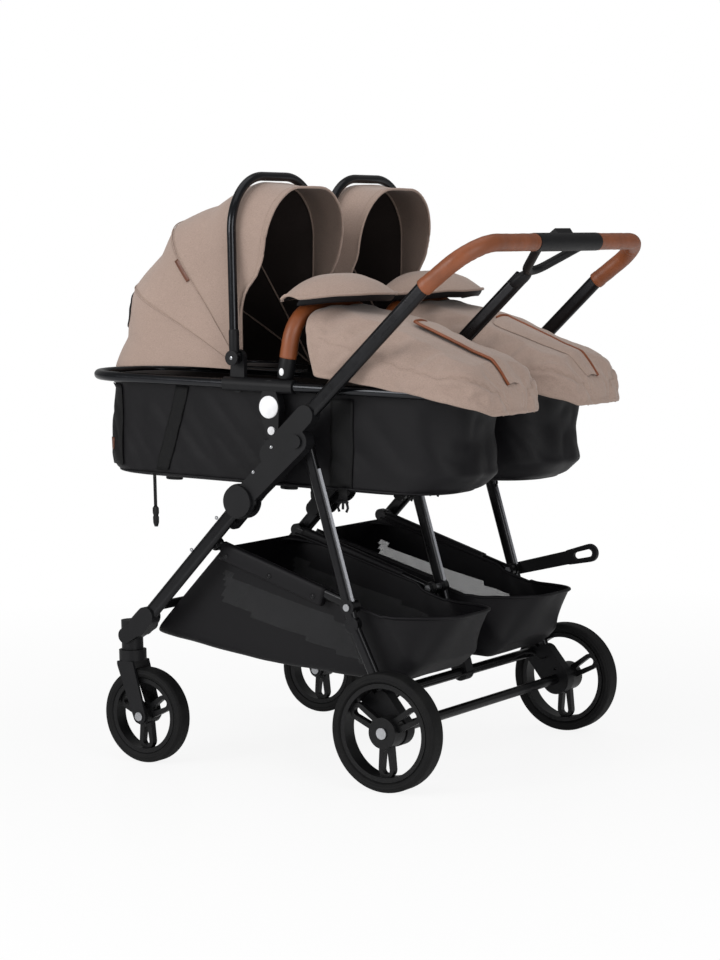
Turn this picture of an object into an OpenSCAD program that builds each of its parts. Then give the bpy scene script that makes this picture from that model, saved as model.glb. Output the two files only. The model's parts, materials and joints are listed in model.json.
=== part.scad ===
// Side-by-side twin pram: folding chassis, two swivel casters and two lift-off carrycots.
// Millimetres. X runs across (positive is the pram's left), travel is towards -Y, Z is up.
// The origin is on the floor, under the middle of the pram's box.

/* [Wheels] */
// Middle plane of a rear wheel, outside the plane of its side tube
wheel_out = 13; // [11:0.5:30]
// Rear axle, behind the middle of the pram
rear_axle_y = 274; // [262:1:286]
// Diameter of a rear wheel
rear_wheel_d = 230; // [220:1:240]
// Width of a rear tyre
rear_tyre_w = 42; // [34:1:42]
// Diameter of a front wheel
front_wheel_d = 194; // [180:1:200]
// Width of a front tyre
front_tyre_w = 38; // [30:1:42]
// Radial thickness of every tyre
tyre_h = 20; // [14:1:24]
// Radial depth of every rim
rim_h = 9; // [6:1:12]
// Diameter of a rear stub axle
axle_d = 12; // [10:0.5:14]
// Diameter of a front wheel bolt
wheel_bolt_d = 10; // [8:0.5:12]

/* [Casters] */
// Caster stem, inside the plane of its side tube
caster_in = 23; // [18:1:28]
// Caster stem, from the middle of the pram
caster_y = -360; // [-370:1:-350]
// How far a front axle trails behind its stem
trail = 33; // [25:1:45]
// Diameter of a caster stem
stem_d = 12; // [10:0.5:14]
// Height of a caster socket
socket_h = 60; // [50:1:70]
// Thickness of a fork blade
blade_t = 6; // [4:0.5:8]

/* [Frame] */
// Distance between the planes of the two side tubes
frame_w = 690; // [686:1:710]
// Depth of a handle or front tube, seen from the side
tube_w = 30; // [26:1:32]
// Thickness of a handle or front tube across the pram
tube_t = 18; // [14:1:19]
// Depth of a rear leg, seen from the side
leg_w = 24; // [20:1:28]
// Thickness of a rear leg across the pram
leg_t = 16; // [12:1:16]
// Depth of a link bar, seen from the side
link_w = 20; // [16:1:24]
// Thickness of a link bar across the pram
link_t = 14; // [10:1:14]
// Wall of the frame tubes
tube_wall = 1.8; // [1.2:0.1:2.5]
// Diameter of the rear cross tube and of the axle tube
cross_d = 20; // [16:1:24]
// Diameter of the front cross tube
front_cross_d = 18; // [14:1:20]
// Thickness of the hinge brackets
bracket_t = 28; // [26:1:30]

/* [Fold pivots] */
// Fold hinge between front and handle tubes, from the middle of the pram
hinge_y = -57; // [-65:1:-50]
// Height of the fold hinge
hinge_z = 545; // [535:1:555]
// Pivot of the rear legs on the brackets, from the middle of the pram
pivot_y = 82; // [75:1:90]
// Height of the rear legs' pivot
pivot_z = 665; // [655:1:675]
// Bend of the side legs, from the middle of the pram
bend_y = 180; // [172:1:188]
// Height of the side legs' bend
bend_z = 311; // [300:1:320]
// Link bolt, along the leg from its pivot
link_on_leg = 333; // [320:1:340]
// Link stud, along the front tube from the fold hinge
link_on_front = 131; // [120:1:150]
// Rear cross tube, along the leg's line from its pivot
cross_on_leg = 513; // [505:1:520]
// Radius of the round hinge cheeks
hinge_r = 35; // [33:1:38]
// Diameter of the hinge bolts
hinge_bolt_d = 12; // [10:0.5:14]
// Diameter of the leg bolts
leg_bolt_d = 10; // [8:0.5:10]
// Diameter of the link bolts
link_bolt_d = 8; // [6:0.5:9]

/* [Handle] */
// Where the handle's U bar meets the side tubes, from the middle of the pram
knee_y = 368; // [360:1:376]
// Height of that meeting
knee_z = 955; // [945:1:965]
// Slope of the U bar
bar_angle = 35; // [30:1:40]
// Reach of the U bar beyond the side tubes
bar_reach = 140; // [132:1:152]
// Diameter of the U bar
bar_d = 28; // [24:1:28]
// Bend radius of the U bar's corners
bar_bend_r = 75; // [60:1:90]
// Wall of the leather grips
grip_wall = 3; // [2:0.5:4]
// Length of the centre sleeve
sleeve_l = 250; // [220:1:280]
// Wall of the centre sleeve
sleeve_wall = 4; // [3:0.5:6]
// Travel of the fold trigger
trigger_travel = 8; // [5:1:10]

/* [Carrycots] */
// Outer post of a carrycot, inside the plane of the side tube
post_in = 34; // [33:0.5:38]
// Inner post of a carrycot, from the middle of the pram
post_mid = 31; // [30.5:0.5:34]
// Head end of the rail, from the middle of the pram
head_y = -490; // [-500:1:-480]
// Foot end of the rail, from the middle of the pram
foot_y = 441; // [430:1:442]
// Corner radius of the rail
rail_r = 105; // [90:1:115]
// Diameter of the rail
rail_d = 20; // [16:1:22]
// Height of the rail above the hubs
rail_over_hub = 41; // [38:1:46]
// How far the head end is tipped up
tilt = 2.5; // [0:0.5:3]
// Carrycot hub, from the middle of the pram
hub_y = -6; // [-12:1:0]
// Height of the hubs above the adapters
hub_over_adapter = 64; // [58:1:70]
// Depth of the fabric tub below the rail
tub_depth = 200; // [185:1:205]
// Wall of the fabric tub
tub_wall = 6; // [4:1:8]
// Thickness of the mattress
mattress_h = 32; // [20:1:40]
// Height of the hood's pivot above the rail
hood_lift = 52; // [46:1:60]
// Distance of the hood's pivot in front of the hub
hood_fore = 82; // [74:1:90]
// Radius of the carry bow, from the hood's pivot to the tube's middle
bow_reach = 356; // [340:1:365]
// Diameter of the carry bow
bow_d = 18; // [14:1:18]
// Thickness of the hood's cloth
hood_t = 3; // [2:0.5:4]
// Diameter of the bumper bar
bumper_d = 34; // [28:1:34]
// Height of the bumper bar's top above the rail's middle
bumper_h = 167; // [150:1:175]
// Padding of the apron over the bumper bar
apron_pad = 16; // [10:1:20]

/* [Baskets] */
// Wall of a basket
basket_wall = 3; // [2:0.5:4]
// How far a basket's bottom sags between its ends
basket_sag = 15; // [8:1:20]

/* [Hidden] */
$fn = 48;
run_gap = 0.5;
fit_gap = 0.05;
slip_gap = 0.3;
soft_gap = 1;

// Heights and planes of the chassis
rear_axle_z = rear_wheel_d / 2;
front_axle_y = caster_y + trail;
front_axle_z = front_wheel_d / 2;
crown_gap = 14;
crown_h = 22;
crown_z = front_wheel_d + crown_gap;
socket_z = crown_z + crown_h + run_gap;
side_x = frame_w / 2;
wheel_x = side_x + wheel_out;
caster_x = side_x - caster_in;
leg_x = side_x - bracket_t / 2 - run_gap - leg_t / 2;
leg_mid_x = -(bracket_t / 2 + run_gap + leg_t / 2);
link_x = leg_x - leg_t / 2 - run_gap - link_t / 2;
link_mid_x = bracket_t / 2 + run_gap + link_t / 2;

// Heights and planes of the carrycots, from the adapters up
adapter_up = 51;
adapter_h = 68;
post_sunk = 4;
adapter_z = hinge_z + adapter_up;
post_z = adapter_z - post_sunk;
hub_z = adapter_z + adapter_h + hub_over_adapter;
rail_z = hub_z + rail_over_hub;
post_out = side_x - post_in;
cot_x = (post_out + post_mid) / 2;
rail_hw = (post_out - post_mid) / 2;

// Points of the side view, as [y, z]
hinge = [hinge_y, hinge_z];
pivot = [pivot_y, pivot_z];
bend = [bend_y, bend_z];
axle = [rear_axle_y, rear_axle_z];
knee = [knee_y, knee_z];
hub = [hub_y, hub_z];
front_end_back = 44;
front_end_up = 56;
front_end = [caster_y + front_end_back, socket_z + front_end_up];
leg_way = unit(bend - pivot);
low_way = unit(axle - bend);
front_way = unit(front_end - hinge);
link_rear = pivot + link_on_leg * leg_way;
link_front = hinge + link_on_front * front_way;
cross = pivot + cross_on_leg * leg_way;
front_cross_up = 55;
front_cross = front_end - front_cross_up * front_way;

// The handle tube's line passes above the leg pivot, clear of its bolt
tube_bolt_gap = 4;
tube_over_pivot = tube_w / 2 + leg_bolt_d / 2 + tube_bolt_gap;
tube_angle = angle_of(knee - pivot) - asin(tube_over_pivot / norm(knee - pivot));
tube_way = [cos(tube_angle), sin(tube_angle)];
tube_root = pivot + tube_over_pivot * [-sin(tube_angle), cos(tube_angle)];
tube_sunk = 60;
bracket_cover = 48;
bracket_lip = 6;
bracket_wall = 6;
bracket_web_r = 22;
eye_margin = 5;
slot_margin = 4;
eye_r = hinge_r - eye_margin;
slot_r = hinge_r + slot_margin;
slot_t = tube_t + 2 * run_gap;

// Eyes of the flat bars: wider than the bar, sunk into it and a hair thinner
eye_over = 6;
eye_sunk = 6;
eye_inset = 0.2;

// Wheels and axle housings
hub_shy = 2;
hub_half = rear_tyre_w / 2 - hub_shy;
housing_wall = 5;
housing_t = leg_t + 2 * housing_wall;
housing_r = 32;
housing_arm_r = 28;
housing_up = 30;
wrap = 7;
brake_pin_d = 6;
brake_pin_r = 22;
brake_travel = 5;
brake_holes = 12;
cap_t = 3;

// Carrycot stations
rail_edge = rail_hw + rail_d / 2;
rail_sleeve_wall = 4;
sleeve_r = rail_d / 2 + rail_sleeve_wall;
hood_pivot = [hub_y - hood_fore, rail_z + hood_lift];
bow_out = 11;
bow_hw = rail_hw + bow_out;
bow_lean = -2.3;
bow_bend_r = 110;
post_w = 16;
post_d = 22;
adapter_wall = 6;
adapter_down = 65;
adapter_foot = hinge + adapter_down * front_way;
tub_hw = rail_hw - sleeve_r - slip_gap;
tub_z = rail_z - tub_depth;

function unit(v) = v / norm(v);
function angle_of(v) = atan2(v[1], v[0]);
function turn_between(a, b) = atan2(a[0] * b[1] - a[1] * b[0], a * b);
function mix(a, b, t) = a + (b - a) * t;

// Draws in the side view: the child's x, y and z become the pram's Y, Z and X
module side(x = 0) translate([x, 0, 0]) rotate([90, 0, 90]) children();

// Draws in the handle's plane: x across, y up along the U bar
module handle_plane() translate([0, knee_y, knee_z]) rotate([bar_angle, 0, 0]) children();

// Keeps the left side, or mirrors it to the right
module on_side(s) mirror([s < 0 ? 1 : 0, 0, 0]) children();

// Tips a carrycot's pieces about its hubs and puts them on their side of the pram
module on_cot(s)
    translate([s * cot_x, hub_y, hub_z]) rotate([-tilt, 0, 0]) translate([0, -hub_y, -hub_z]) children();

// Two discs and the flat-sided band between them
module band(p, q, r1, r2) {
    way = unit(q - p);
    lift = acos((r1 - r2) / norm(q - p));
    up = angle_of(way) + lift;
    down = angle_of(way) - lift;
    translate(p) circle(r1);
    translate(q) circle(r2);
    polygon([
        p + r1 * [cos(up), sin(up)], p + r1 * [cos(down), sin(down)],
        q + r2 * [cos(down), sin(down)], q + r2 * [cos(up), sin(up)],
    ]);
}

// A plate of the side view, centred on the plane x
module plate(x, t) side(x) translate([0, 0, -t / 2]) linear_extrude(t) children();

// A round bar along X
module cross_bar(x0, x1, at, d) translate([x0, at[0], at[1]]) rotate([0, 90, 0]) cylinder(d = d, h = x1 - x0);

module oval(w, t) {
    square([w - t, t], center = true);
    for (s = [-1, 1])
        translate([s * (w - t) / 2, 0])
            circle(d = t);
}

module oval_tube(w, t) difference() {
    oval(w, t);
    oval(w - 2 * tube_wall, t - 2 * tube_wall);
}

// Sweeps a profile along a flat path with rounded corners; the profile's x lies in the path's plane
module swept(path, r = 0, closed = false) {
    n = len(path);
    function at(i) = path[(i + n) % n];
    function way(i) = unit(at(i + 1) - at(i));
    function is_corner(i) = closed || (i > 0 && i < n - 1);
    function turn(i) = is_corner(i) ? turn_between(way(i - 1), way(i)) : 0;
    function cut(i) = r * tan(abs(turn(i)) / 2);
    for (i = [0 : closed ? n - 1 : n - 2]) {
        start = at(i) + cut(i) * way(i);
        run = norm(at(i + 1) - at(i)) - cut(i) - cut((i + 1) % n);
        translate(start) rotate([0, 0, angle_of(way(i))]) rotate([90, 0, 90]) linear_extrude(run) children();
    }
    for (i = [0 : n - 1])
        if (abs(turn(i)) > 0) {
            s = sign(turn(i));
            inward = s * [-way(i - 1)[1], way(i - 1)[0]];
            centre = at(i) - cut(i) * way(i - 1) + r * inward;
            first = angle_of(-inward) + min(turn(i), 0);
            translate(centre) rotate([0, 0, first])
                rotate_extrude(angle = abs(turn(i))) translate([r, 0]) children();
        }
}

// Closed solid through a list of rings that have equal counts of points
module loft(rings) {
    n = len(rings[0]);
    m = len(rings);
    function id(i, j) = i * n + j % n;
    sides = [
        for (i = [0 : m - 2], j = [0 : n - 1])
            each [[id(i, j), id(i + 1, j), id(i + 1, j + 1)], [id(i, j), id(i + 1, j + 1), id(i, j + 1)]]
    ];
    caps = [[for (j = [0 : n - 1]) j], [for (j = [n - 1 : -1 : 0]) id(m - 1, j)]];
    polyhedron([for (ring = rings) each ring], concat(sides, caps));
}

// Closed solid between two grids of points, closed along all four edges
module shell(outer, inner) {
    m = len(outer);
    n = len(outer[0]);
    function id(side, i, j) = side * m * n + i * n + j;
    function pair(a, b, c, d) = [[a, b, c], [a, c, d]];
    outside = [for (i = [0 : m - 2], j = [0 : n - 2])
        each pair(id(0, i, j), id(0, i + 1, j), id(0, i + 1, j + 1), id(0, i, j + 1))];
    inside = [for (i = [0 : m - 2], j = [0 : n - 2])
        each pair(id(1, i, j), id(1, i, j + 1), id(1, i + 1, j + 1), id(1, i + 1, j))];
    long_edges = [for (i = [0 : m - 2]) each concat(
        pair(id(0, i, 0), id(1, i, 0), id(1, i + 1, 0), id(0, i + 1, 0)),
        pair(id(0, i, n - 1), id(0, i + 1, n - 1), id(1, i + 1, n - 1), id(1, i, n - 1)))];
    short_edges = [for (j = [0 : n - 2]) each concat(
        pair(id(0, 0, j), id(0, 0, j + 1), id(1, 0, j + 1), id(1, 0, j)),
        pair(id(0, m - 1, j), id(1, m - 1, j), id(1, m - 1, j + 1), id(0, m - 1, j + 1)))];
    polyhedron(
        concat([for (row = outer) each row], [for (row = inner) each row]),
        concat(outside, inside, long_edges, short_edges));
}

// Level ring with rounded corners, from y0 to y1 and hw each way
function level_ring(y0, y1, hw, r, z, steps = 7) = [
    for (corner = [[1, 1, 0], [-1, 1, 90], [-1, -1, 180], [1, -1, 270]], i = [0 : steps])
        let (a = corner[2] + 90 * i / steps)
            [corner[0] * (hw - r) + r * cos(a), (corner[1] > 0 ? y1 - r : y0 + r) + r * sin(a), z]
];

/* Rear frame */

// An eye or knuckle of a bar, a hair thinner than the bar so that no two faces share a plane
module eye(at, d, t) translate([at[0], at[1], eye_inset - t / 2]) cylinder(d = d, h = t - 2 * eye_inset);

module leg(x, runs, knuckles) difference() {
    side(x) {
        for (run = runs)
            swept(run) oval(leg_w, leg_t);
        for (at = concat([pivot, link_rear], knuckles))
            eye(at, leg_w + eye_over, leg_t);
    }
    cross_bar(x - leg_t, x + leg_t, pivot, leg_bolt_d + 2 * fit_gap);
    cross_bar(x - leg_t, x + leg_t, link_rear, link_bolt_d);
}

leg_short = 24;
mid_leg_short = 3;
leg_stop = axle - (axle_d / 2 + leg_short) * low_way;
mid_leg_stop = cross - (cross_d / 2 + mid_leg_short) * leg_way;
leg_start = pivot - eye_sunk * leg_way;
upper_run = [leg_start, bend - eye_sunk * leg_way];
lower_run = [bend + eye_sunk * low_way, leg_stop];
mid_run = [leg_start, mid_leg_stop];

module rear_side_legs() color([0.2, 0.2, 0.21])
    for (s = [1, -1])
        leg(s * leg_x, [upper_run, lower_run], [bend]);

module rear_centre_leg() color([0.2, 0.2, 0.21]) leg(leg_mid_x, [mid_run], []);

cross_sunk = 4;
cross_end = leg_x - leg_t / 2 + cross_sunk;

module tube_across(at) difference() {
    cross_bar(-cross_end, cross_end, at, cross_d);
    cross_bar(-cross_end - 1, cross_end + 1, at, cross_d - 2 * tube_wall);
}

module rear_cross_tube() color([0.16, 0.16, 0.17]) tube_across(cross);

module rear_axle_tube() color([0.16, 0.16, 0.17]) tube_across(axle);

housing_in = leg_x - housing_t / 2;
housing_out = leg_x + housing_t / 2;
stub_step = 2;
collar_over = 6;
cap_over = 10;
stub_in = cross_end + stub_step;
hub_out = wheel_x + hub_half;

module rear_stub_axles() color([0.75, 0.75, 0.77])
    for (s = [1, -1]) on_side(s) {
        cross_bar(stub_in, hub_out + run_gap, axle, axle_d);
        cross_bar(housing_out, wheel_x - hub_half - run_gap, axle, axle_d + collar_over);
        cross_bar(hub_out + run_gap, hub_out + run_gap + cap_t, axle, axle_d + cap_over);
    }

brake_pin_at = axle + [0, brake_pin_r];

module axle_housings() color([0.1, 0.1, 0.11])
    for (s = [1, -1]) on_side(s)
        difference() {
            plate(leg_x, housing_t) {
                band(axle, leg_stop - housing_up * low_way, housing_r, leg_w / 2 + wrap);
                band(axle, cross, housing_arm_r, cross_d / 2 + wrap);
            }
            side(leg_x) swept(lower_run) oval(leg_w, leg_t);
            cross_bar(housing_in - 1, cross_end, cross, cross_d);
            cross_bar(housing_in - 1, cross_end, axle, cross_d);
            cross_bar(housing_in - 1, housing_out + 1, axle, axle_d);
            cross_bar(housing_in - 1, housing_out + 1, brake_pin_at, brake_pin_d + 2 * fit_gap);
        }

joint_up = 52;
joint_wall = 6;

module centre_leg_bracket() color([0.1, 0.1, 0.11]) difference() {
    plate(leg_mid_x, leg_t + 2 * joint_wall)
        band(cross, cross - joint_up * leg_way, cross_d / 2 + wrap, leg_w / 2 + joint_wall);
    side(leg_mid_x) swept(mid_run) oval(leg_w, leg_t);
    cross_bar(leg_mid_x - leg_t, leg_mid_x + leg_t, cross, cross_d);
}

// The cable runs from housing to housing along the cross tube, with a loop near the right wheel
cable_d = 4;
cable_sides = 8;
cable_y = cross[0] + cross_d / 2 + wrap + cable_d / 2 + slip_gap;
// Points of its two ends: how far in from the housing, behind the cross tube and above it
cable_loop = [[0, 34, -10], [17.5, 34, -10], [33.5, 33, -4], [51.5, 30, 6], [77.5, 26, 10], [105.5, 22, 6]];
cable_tail = [[39.5, 24, -4], [17.5, 34, -10], [0, 34, -10]];
loop_in = 129.5;
tail_in = 69.5;
cable_steps = 10;
cable_from = loop_in - housing_in;
cable_to = housing_in - tail_in;
cable_route = concat(
    [for (p = cable_loop) [p[0] - housing_in, cross[0] + p[1], cross[1] + p[2]]],
    [for (i = [0 : cable_steps]) [mix(cable_from, cable_to, i / cable_steps), cable_y, cross[1]]],
    [for (p = cable_tail) [housing_in - p[0], cross[0] + p[1], cross[1] + p[2]]]);

function tube_ring(route, i, d, sides) =
    let (
        n = len(route),
        ahead = i == 0 ? [1, 0, 0] : i == n - 1 ? [1, 0, 0] : unit(route[i + 1] - route[i - 1]),
        over = unit(cross3([0, 0, 1], ahead)),
        up = cross3(ahead, over)
    )
    [for (k = [0 : sides - 1]) route[i] + d / 2 * (cos(360 * k / sides) * over + sin(360 * k / sides) * up)];
function cross3(a, b) = [
    a[1] * b[2] - a[2] * b[1], a[2] * b[0] - a[0] * b[2], a[0] * b[1] - a[1] * b[0]];

module brake_cable() color([0.06, 0.06, 0.06])
    loft([for (i = [0 : len(cable_route) - 1]) tube_ring(cable_route, i, cable_d, cable_sides)]);

lever_t = 10;
lever_x = leg_x + leg_t / 2 + run_gap + lever_t / 2;
lever_l = 182;
lever_angle = 13;
lever_root_r = 13;
lever_tip_r = 15;
lever_pad_l = 46;
lever_pad_r = [16, 19];
lever_hole_l = 30;
lever_hole_r = [7, 8];
lever_way = [cos(lever_angle), sin(lever_angle)];
lever_tip = link_rear + lever_l * lever_way;
bolt_cap_over = 6;
bolt_grip_over = 5;

module link_bolt(x0, x1, grip) {
    cross_bar(x0, x1, link_rear, link_bolt_d);
    cross_bar(grip[0], grip[1], link_rear, link_bolt_d + bolt_grip_over);
    cross_bar(x0 - cap_t, x0, link_rear, link_bolt_d + bolt_cap_over);
    cross_bar(x1, x1 + cap_t, link_rear, link_bolt_d + bolt_cap_over);
}

module link_bolts() color([0.5, 0.5, 0.52]) {
    inner = link_x - link_t / 2 - slip_gap;
    rub = [link_x + link_t / 2 + slip_gap / 2, leg_x - leg_t / 2];
    link_bolt(inner, leg_x + leg_t / 2, rub);
    mirror([1, 0, 0]) link_bolt(inner, lever_x + lever_t / 2 + slip_gap, rub);
    link_bolt(leg_mid_x - leg_t / 2, link_mid_x + link_t / 2 + slip_gap,
        [leg_mid_x + leg_t / 2, link_mid_x - link_t / 2 - slip_gap]);
}

module brake_lever() color([0.08, 0.08, 0.09]) difference() {
    plate(-lever_x, lever_t) {
        band(link_rear, lever_tip, lever_root_r, lever_tip_r);
        band(lever_tip - lever_pad_l * lever_way, lever_tip, lever_pad_r[0], lever_pad_r[1]);
    }
    plate(-lever_x, 2 * lever_t)
        band(lever_tip - lever_hole_l * lever_way, lever_tip, lever_hole_r[0], lever_hole_r[1]);
    cross_bar(-lever_x - lever_t, -lever_x + lever_t, link_rear, link_bolt_d + 2 * fit_gap);
}

pin_sunk = 6;
pin_in = leg_x - leg_t / 2 + pin_sunk;
pin_out = wheel_x - hub_half - run_gap;

module brake_pin(s) on_side(s) cross_bar(pin_in, pin_out, brake_pin_at, brake_pin_d);

module brake_pin_left() color([0.7, 0.7, 0.72]) brake_pin(1);
module brake_pin_right() color([0.7, 0.7, 0.72]) brake_pin(-1);

/* Wheels */

module round_rect(w, h, r) {
    square([w - 2 * r, h], center = true);
    square([w, h - 2 * r], center = true);
    for (a = [-1, 1], b = [-1, 1])
        translate([a * (w / 2 - r), b * (h / 2 - r)]) circle(r);
}

wheel_fn = 96;
tyre_round = 8.4;
rim_shy = 4;
spoke_t = 14;
spoke_first = 30;
spoke_step = 120;
spoke_last = 270;
spoke_r = [13, 17];
spoke_sunk = 7;
slot_r_ends = [4, 8];
slot_in = 8;
slot_out = 14;

module tyre(d, w) rotate_extrude($fn = wheel_fn) translate([d / 2 - tyre_h / 2, 0])
    round_rect(tyre_h, w, tyre_round);

module spoke(ring_out, hub_r) linear_extrude(spoke_t) difference() {
    band([hub_r - spoke_r[0], 0], [ring_out - spoke_sunk - spoke_r[1], 0], spoke_r[0], spoke_r[1]);
    band([hub_r + slot_in, 0], [ring_out - rim_h - slot_out, 0], slot_r_ends[0], slot_r_ends[1]);
}

module rim(d, w, hub_w, hub_r, bore) {
    ring_out = d / 2 - tyre_h;
    difference() {
        union() {
            rotate_extrude($fn = wheel_fn) translate([ring_out - rim_h / 2, 0])
                square([rim_h, w - 2 * rim_shy], center = true);
            cylinder(r = hub_r, h = hub_w, center = true);
            for (a = [spoke_first : spoke_step : spoke_last])
                rotate(a) translate([0, 0, -spoke_t / 2]) spoke(ring_out, hub_r);
        }
        cylinder(d = bore, h = hub_w + 2, center = true);
    }
}

rear_hub_wall = 8;
hole_deep = 3;
hole_over = 1;

module rear_tyre(s) color([0.09, 0.09, 0.1]) on_side(s) side(wheel_x) translate([axle[0], axle[1], 0])
    tyre(rear_wheel_d, rear_tyre_w);

module rear_rim(s) color([0.12, 0.12, 0.13]) on_side(s) difference() {
    side(wheel_x) translate([axle[0], axle[1], 0])
        rim(rear_wheel_d, rear_tyre_w, 2 * hub_half, brake_pin_r + rear_hub_wall, axle_d + 2 * fit_gap);
    for (k = [0 : brake_holes - 1])
        cross_bar(wheel_x - hub_half - 1, wheel_x - hub_half + brake_travel + hole_deep,
            axle + brake_pin_r * [sin(360 * k / brake_holes), cos(360 * k / brake_holes)],
            brake_pin_d + hole_over);
}

module rear_tyre_left() rear_tyre(1);
module rear_rim_left() rear_rim(1);
module rear_tyre_right() rear_tyre(-1);
module rear_rim_right() rear_rim(-1);

front_axle = [front_axle_y, front_axle_z];
blade_gap = 3;
blade_x = front_tyre_w / 2 + blade_gap;
front_hub_w = 2 * (blade_x - slip_gap);
front_hub_r = 18;
bolt_head_over = 8;

module front_tyre(s) color([0.09, 0.09, 0.1]) on_side(s) side(caster_x)
    translate([front_axle[0], front_axle[1], 0]) tyre(front_wheel_d, front_tyre_w);

module front_rim(s) color([0.12, 0.12, 0.13]) on_side(s) side(caster_x)
    translate([front_axle[0], front_axle[1], 0])
        rim(front_wheel_d, front_tyre_w, front_hub_w, front_hub_r, wheel_bolt_d + 2 * fit_gap);

module front_tyre_left() front_tyre(1);
module front_rim_left() front_rim(1);
module front_tyre_right() front_tyre(-1);
module front_rim_right() front_rim(-1);

module front_bolt(s) color([0.7, 0.7, 0.72]) on_side(s) {
    end = blade_x + blade_t;
    cross_bar(caster_x - end, caster_x + end, front_axle, wheel_bolt_d);
    for (x = [caster_x - end - cap_t, caster_x + end])
        cross_bar(x, x + cap_t, front_axle, wheel_bolt_d + bolt_head_over);
}

module front_bolt_left() front_bolt(1);
module front_bolt_right() front_bolt(-1);

blade_drop = 4;
blade_root = [caster_y, crown_z - blade_drop];
blade_r = [20, 15];
socket_roof = 14;
stem_l = socket_h - socket_roof;

module caster_fork(s) color([0.1, 0.1, 0.11]) on_side(s) {
    difference() {
        for (x = [caster_x - blade_x - blade_t / 2, caster_x + blade_x + blade_t / 2])
            plate(x, blade_t) band(blade_root, front_axle, blade_r[0], blade_r[1]);
        cross_bar(caster_x - 2 * blade_x, caster_x + 2 * blade_x, front_axle, wheel_bolt_d);
        translate([caster_x - 2 * blade_x, caster_y - 2 * blade_r[0], crown_z])
            cube([4 * blade_x, 4 * blade_r[0], 2 * crown_h]);
    }
    translate([caster_x, caster_y, crown_z]) {
        cylinder(r = blade_x + blade_t, h = crown_h);
        cylinder(d = stem_d, h = crown_h + stem_l);
    }
}

module caster_fork_left() caster_fork(1);
module caster_fork_right() caster_fork(-1);

/* Links */

module link_bar(x) difference() {
    side(x) {
        swept([link_front, link_rear]) oval(link_w, link_t);
        for (at = [link_front, link_rear])
            eye(at, link_w + eye_over, link_t);
    }
    cross_bar(x - link_t, x + link_t, link_rear, link_bolt_d + 2 * fit_gap);
}

module side_links() color([0.08, 0.08, 0.09])
    for (x = [link_x, -link_x, link_mid_x])
        link_bar(x);

/* Handle */

bar_hw = side_x;
grip_d = bar_d + 2 * grip_wall;
sleeve_d = bar_d + 2 * sleeve_wall;
bar_path = [[bar_hw, 0], [bar_hw, bar_reach], [-bar_hw, bar_reach], [-bar_hw, 0]];

module handlebar() color([0.2, 0.2, 0.21]) handle_plane() swept(bar_path, bar_bend_r) difference() {
    circle(d = bar_d);
    circle(d = bar_d - 2 * tube_wall);
}

module grips() color([0.6, 0.35, 0.2])
    for (s = [1, -1]) on_side(s) handle_plane()
        swept([[bar_hw, 0], [bar_hw, bar_reach], [sleeve_l / 2, bar_reach]], bar_bend_r) difference() {
            circle(d = grip_d);
            circle(d = bar_d);
        }

tube_foot = tube_root - tube_sunk * tube_way;
tube_head_gap = 1;
tube_head = knee - (bar_d / 2 * abs(sin(bar_angle - tube_angle)) + tube_head_gap) * tube_way;
yoke_y = 30;
yoke_x = 88;
yoke_arm_r = 10;
yoke_neck = 12;
yoke_wall = 3;
yoke_socket = 5;
yoke_at = knee + yoke_y * [cos(bar_angle), sin(bar_angle)];
yoke_r = 13;
mid_tube_top = tube_root + (norm(yoke_at - tube_root) - yoke_r + yoke_socket) * tube_way;

module handle_tubes() color([0.2, 0.2, 0.21]) {
    for (s = [1, -1])
        side(s * side_x) swept([tube_foot, tube_head]) oval_tube(tube_w, tube_t);
    side(0) swept([tube_foot, mid_tube_top]) oval_tube(tube_w, tube_t);
}

trigger_l = 32;
trigger_w = 14;
trigger_t = 9;
boss_wall_l = 7;
boss_wall_w = 4;
boss_rise = 7;
boss_l = trigger_l + 2 * trigger_travel + 2 * boss_wall_l;
boss_w = trigger_w + 2 * boss_wall_w;
boss_h = sleeve_d / 2 + boss_rise;
trigger_floor = sleeve_d / 2 + slip_gap;

module handle_sleeve() color([0.07, 0.07, 0.08]) handle_plane() translate([0, bar_reach, 0]) difference() {
    union() {
        rotate([0, 90, 0]) cylinder(d = sleeve_d, h = sleeve_l - 2 * slip_gap, center = true);
        translate([-boss_l / 2, -boss_w / 2, 0]) cube([boss_l, boss_w, boss_h]);
    }
    rotate([0, 90, 0]) cylinder(d = bar_d, h = sleeve_l + 2, center = true);
    translate([-trigger_l / 2 - slip_gap, -trigger_w / 2 - slip_gap, trigger_floor])
        cube([trigger_l + trigger_travel + 2 * slip_gap, trigger_w + 2 * slip_gap, boss_h]);
}

module fold_trigger() color([0.3, 0.3, 0.31]) handle_plane()
    translate([-trigger_l / 2, bar_reach - trigger_w / 2, trigger_floor + slip_gap])
        cube([trigger_l, trigger_w, trigger_t]);

module handle_yoke() color([0.07, 0.07, 0.08]) difference() {
    handle_plane() translate([0, 0, -tube_t / 2]) linear_extrude(tube_t) {
        for (s = [1, -1])
            band([s * yoke_x, bar_reach], [0, yoke_y], yoke_arm_r, yoke_r);
        band([0, yoke_y], [0, yoke_y - yoke_neck], yoke_r, tube_w / 2 + yoke_wall);
    }
    handle_plane() translate([0, bar_reach, 0]) rotate([0, 90, 0])
        cylinder(d = sleeve_d, h = sleeve_l, center = true);
    side(0) swept([tube_foot, mid_tube_top]) oval(tube_w, tube_t);
}

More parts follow.
